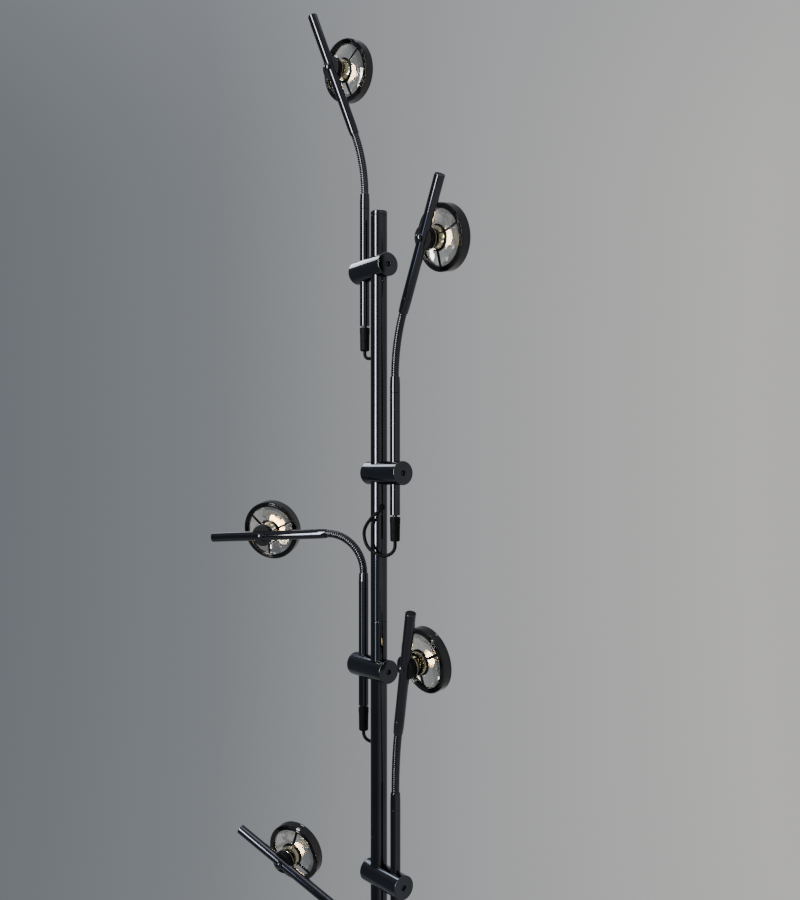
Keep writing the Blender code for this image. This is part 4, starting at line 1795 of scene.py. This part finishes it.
    def model_spoke(self, turn: float) -> Object:
        """Make one spoke: a bar with a channel along each face and softened edges.

        Args:
            turn: Angle of the spoke about the beam.

        Returns:
            The spoke.
        """
        hub_middle = (self.hub_rear + self.hub_front) / 2
        start = Vector((self.spoke_start, 0, hub_middle))
        end = Vector((self.ring_inner + self.spoke_sunk, 0, hub_middle + self.spoke_rise))
        Bench.clear_selection()
        bpy.ops.mesh.primitive_cube_add(size=1, location=(0, 0, 0))
        spoke = bpy.context.active_object
        spoke.name = "spoke_master"
        bpy.ops.object.mode_set(mode="EDIT")
        size = ((end - start).length, self.spoke_width, self.spoke_thickness)
        bpy.ops.transform.resize(value=size, center_override=(0, 0, 0))
        bpy.ops.mesh.select_mode(type="FACE")
        for side in (1, -1):
            bpy.ops.mesh.select_all(action="DESELECT")
            shape = bmesh.from_edit_mesh(spoke.data)
            for face in shape.faces:
                wide = face.calc_area() > 0.6 * size[0] * size[1]
                face.select_set(wide and face.normal.z * side > 0.9)
            bmesh.update_edit_mesh(spoke.data)
            bpy.ops.mesh.inset(thickness=self.channel_wall, depth=-self.channel_depth)
        bpy.ops.object.mode_set(mode="OBJECT")
        Bench.apply(
            spoke, "BEVEL", width=self.spoke_edge, segments=2, limit_method="ANGLE",
            angle_limit=math.radians(40),
        )
        lean = math.atan2(end.z - start.z, end.x - start.x)
        place = (
            Matrix.Rotation(turn, 4, "Z")
            @ Matrix.Translation((start + end) / 2)
            @ Matrix.Rotation(-lean, 4, "Y")
        )
        spoke.data.transform(place)
        Bench.smooth(spoke)
        return spoke

    def model_ring(self) -> Object:
        """Turn the ring, with a bezel line near its front and a lip behind the lens.

        Returns:
            The ring.
        """
        bezel = self.ring_front - self.bezel_line
        rear_line = self.ring_rear + self.rear_line
        outer = self.ring_radius
        outline = softened([
            (self.lip_inner, self.ring_rear + 2 * MM),
            (self.lip_inner, self.ring_rear, 0.5 * MM),
            (self.ring_inner + 0.2 * MM, self.ring_rear, 0.1 * MM),
            (self.ring_inner + 0.5 * MM, self.ring_rear + 0.3 * MM, 0.1 * MM),
            (self.ring_inner + 0.8 * MM, self.ring_rear, 0.1 * MM),
            (outer - self.ring_edge, self.ring_rear, 0.25 * MM),
            (outer, self.ring_rear + self.ring_edge, 0.25 * MM),
            (outer, rear_line, 0.1 * MM),
            (outer - 0.25 * MM, rear_line + 0.25 * MM, 0.1 * MM),
            (outer, rear_line + 0.5 * MM, 0.1 * MM),
            (outer, bezel, 0.1 * MM),
            (outer - 0.3 * MM, bezel + 0.3 * MM, 0.1 * MM),
            (outer, bezel + 0.6 * MM, 0.1 * MM),
            (outer, self.ring_front - self.ring_edge, 0.3 * MM),
            (outer - self.ring_edge, self.ring_front, 0.3 * MM),
            (self.ring_inner, self.ring_front, 0.3 * MM),
            (self.ring_inner, self.lip_front, 0.2 * MM),
            (self.lip_inner, self.lip_front, 0.3 * MM),
            (self.lip_inner, self.ring_rear + 2 * MM),
        ], bends=4)
        return Bench.turned("ring_master", outline, Step.RING)

    def model_lens(self) -> Object:
        """Press the lens: flat behind, crowned in front, with a small chamfer on its edge.

        Returns:
            The lens, whose faces have the numbers of LensFace.
        """
        radius = self.lens_radius
        crown = self.lens_crown
        ball = (radius ** 2 + crown ** 2) / (2 * crown)
        outline: Outline = [(0, self.lens_rear)]
        flats = 12
        for step in range(1, flats):
            outline.append(((radius - 0.5 * MM) * step / flats, self.lens_rear))
        outline += [
            (radius - 0.4 * MM, self.lens_rear),
            (radius - 0.1 * MM, self.lens_rear + 0.1 * MM),
            (radius, self.lens_rear + 0.4 * MM),
            (radius, self.lens_shoulder - 0.5 * MM),
            (radius, self.lens_shoulder - 0.1 * MM),
        ]
        centre = self.lens_shoulder + crown - ball
        edge = math.asin((radius - 0.3 * MM) / ball)
        crowns = 28
        for step in range(crowns, -1, -1):
            turn = edge * step / crowns
            outline.append((ball * math.sin(turn), centre + ball * math.cos(turn)))
        lens = Bench.turned("lens_master", outline, Step.RING)
        for face in lens.data.polygons:
            part = LensFace.CROWN if face.normal.z > 0.5 else LensFace.BACK
            if math.hypot(face.center.x, face.center.y) > radius - 0.25 * MM:
                part = LensFace.EDGE
            face.material_index = part.value
        return lens

    def fit(self, arm: ArmPlace) -> None:
        """Copy the head's pieces onto an arm.

        Args:
            arm: Where the arm is.
        """
        number = arm.number
        look = self.finishes
        tube = axes(arm.neck_end, arm.head_direction, arm.beam)
        head = arm.head_axes()
        turn = math.radians(self.spoke_turns[number - 1])
        turned = head @ Matrix.Rotation(turn, 4, "Z")
        black, nickel, glass, ring = Slot.BLACK_NICKEL, Slot.NICKEL, Slot.GLASS, Slot.RING
        lens = (look.lens, look.lens_edge, look.lens_crown)
        table = (
            ("tube", "head_rod", tube, black, (look.tube_nickel,), "head_tube"),
            ("end_cap", "head_end_cap", tube, black, (look.boss_black,), ""),
            ("cap_nut", "cap_nut", head, black, (look.tube_nickel,), ""),
            ("boss", "socket_boss", head, black, (look.boss_black,), ""),
            ("barrel", "socket_barrel", head, nickel, (look.barrel_nickel,), "lamp_socket"),
            ("lamp", "lamp_dome", head, glass, (look.lamp,), ""),
            ("collar", "socket_collar", head, nickel, (look.bright_nickel,), ""),
            ("spider", "ring_spider", turned, ring, (look.spoke_black,), ""),
            ("ring", "lens_bezel", head, ring, (look.ring_black,), "lens_ring"),
            ("lens", "crown_lens", head, glass, lens, "lens"),
        )
        for master, name, place, slot, materials, part in table:
            node = f"{part}_{number}" if part else ""
            piece = f"{name}_{number}"
            body = f"head_{number}"
            mount(self.masters[master], piece, place, body, slot, *materials, node=node)


@dataclass(frozen=True)
class SoftBox:
    """One rectangular soft light: its power in watts and the full angle of its light in degrees."""

    name: str
    place: tuple[float, float, float]
    aim: tuple[float, float, float]
    size: tuple[float, float]
    power: float
    colour: str
    spread: float = 180

    def hang(self) -> None:
        """Hang the light in its place, turned to its aim and hidden from the camera."""
        Bench.clear_selection()
        bpy.ops.object.light_add(type="AREA", location=self.place)
        light = bpy.context.active_object
        light.name = self.name
        light.data.shape = "RECTANGLE"
        light.data.size, light.data.size_y = self.size
        light.data.energy = self.power
        light.data.color = linear(self.colour)[:3]
        light.data.spread = math.radians(self.spread)
        back = Vector(self.place) - Vector(self.aim)
        light.rotation_euler = back.to_track_quat("Z", "Y").to_euler()
        light.visible_camera = False


@dataclass
class Studio:
    """Camera at the photograph's angle, pale floor, shaded backdrop and soft lights."""

    camera_place: tuple[float, float, float] = (0.025, -1.131, 1.171)
    focal_pixels: float = 950.0
    picture_height: float = 900.0
    horizon_below_middle: float = 20.0
    sensor: float = 36.0
    floor_radius: float = 1.44
    backdrop: tuple[tuple[float, str], ...] = (
        (-1.00, "#696E73"), (-0.50, "#656A70"), (-0.18, "#7E8286"), (0.06, "#A5A6A8"),
        (0.34, "#C2C1BF"), (0.65, "#BAB9B8"), (1.00, "#AAABAC"),
    )
    sky: str = "#9B9FA6"
    sky_rise: tuple[float, float] = (0.25, 0.85)
    ground: str = "#B4B3B0"
    ground_fall: tuple[float, float] = (-0.45, -0.75)
    # The two strips stand behind grids and draw the lines of light down the pole and the tubes
    boxes: tuple[SoftBox, ...] = (
        SoftBox(
            "key_strip", (-0.81, -0.75, 1.63), (0, 0, 1.63), (0.25, 1.30), 16.5, "#FFFDFA", 130
        ),
        SoftBox(
            "foot_strip", (-0.81, -0.75, 0.84), (0, 0, 0.84), (0.19, 0.28), 0.45, "#CBD9FF", 130
        ),
        SoftBox("left_box", (-1.15, 1.54, 2.60), (0, 0, 1.15), (1.2, 0.34), 9.0, "#EFF2FA"),
        SoftBox("top_box", (0.25, -0.20, 3.30), (0, 0, 1.15), (1.4, 1.4), 14.0, "#F7F7FF"),
    )

    def build(self) -> None:
        """Set up the camera, the floor, the backdrop and the lights."""
        self.set_camera()
        self.lay_floor()
        self.light_world()
        self.hang_lights()

    def set_camera(self) -> None:
        """Place a level camera that looks along +Y."""
        Bench.clear_selection()
        bpy.ops.object.camera_add(location=self.camera_place, rotation=(math.radians(90), 0, 0))
        camera = bpy.context.active_object
        camera.name = "camera"
        camera.data.sensor_fit = "VERTICAL"
        camera.data.sensor_height = self.sensor
        camera.data.sensor_width = self.sensor
        camera.data.lens = self.focal_pixels * self.sensor / self.picture_height
        camera.data.shift_y = self.horizon_below_middle / self.picture_height
        camera.data.clip_end = 200.0
        bpy.context.scene.camera = camera

    def lay_floor(self) -> None:
        """Lay a round floor under the lamp, whose rim fades into the backdrop."""
        Bench.clear_selection()
        bpy.ops.mesh.primitive_circle_add(
            vertices=ROUND_SIDES,
            radius=self.floor_radius,
            fill_type="NGON",
            location=(0, 0, 0),
        )
        floor = bpy.context.active_object
        floor.name = "floor"
        Bench.dress(floor, StudioFloor().make())

    def light_world(self) -> None:
        """Shade the surroundings from dark grey on the left to pale grey on the right."""
        world = bpy.context.scene.world or bpy.data.worlds.new("studio")
        bpy.context.scene.world = world
        world.use_nodes = True
        tree = world.node_tree
        background = tree.nodes["Background"]
        way = add_node(tree, "ShaderNodeTexCoord").outputs["Generated"]
        parts = add_node(tree, "ShaderNodeSeparateXYZ", None, None, {0: way})
        values = {"From Min": -1.0, "From Max": 1.0}
        links = {"Value": parts.outputs["X"]}
        share = add_node(tree, "ShaderNodeMapRange", None, values, links)
        ramp = add_node(tree, "ShaderNodeValToRGB", None, None, {0: share.outputs[0]})
        stops = ramp.color_ramp.elements
        while len(stops) < len(self.backdrop):
            stops.new(1.0)
        for stop, (across, colour) in zip(stops, self.backdrop):
            stop.position = (across + 1) / 2
            stop.color = linear(colour)
        colour = ramp.outputs[0]
        smooth = {"interpolation_type": "SMOOTHSTEP"}
        for tone, (first, last) in ((self.sky, self.sky_rise), (self.ground, self.ground_fall)):
            values = {"From Min": first, "From Max": last}
            links = {"Value": parts.outputs["Z"]}
            part = add_node(tree, "ShaderNodeMapRange", smooth, values, links)
            values = {7: linear(tone)}
            links = {0: part.outputs[0], 6: colour}
            mixed = add_node(tree, "ShaderNodeMix", {"data_type": "RGBA"}, values, links)
            colour = mixed.outputs[2]
        tree.links.new(colour, background.inputs["Color"])
        background.inputs["Strength"].default_value = 1.0

    def hang_lights(self) -> None:
        """Hang the soft boxes round the lamp."""
        for box in self.boxes:
            box.hang()


def main() -> None:
    """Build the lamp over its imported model, piece by piece, and set up the studio."""
    logging.basicConfig(level=logging.INFO, format="%(name)s: %(message)s")
    Studio().build()
    finishes = Finishes.mix()
    Stand(finishes).build()
    groups = (
        CrossClamp(finishes),
        Stem(finishes),
        Gooseneck(finishes),
        ProjectorHead(finishes),
    )
    for group in groups:
        group.model()
    for number in ARM_NUMBERS:
        arm = ArmPlace.read(number)
        LOG.info("arm %d bends %.1f degrees", number, math.degrees(arm.bend))
        for group in groups:
            group.fit(arm)
    for group in groups:
        Bench.scrap(group.masters.values())


if __name__ == "__main__":
    main()
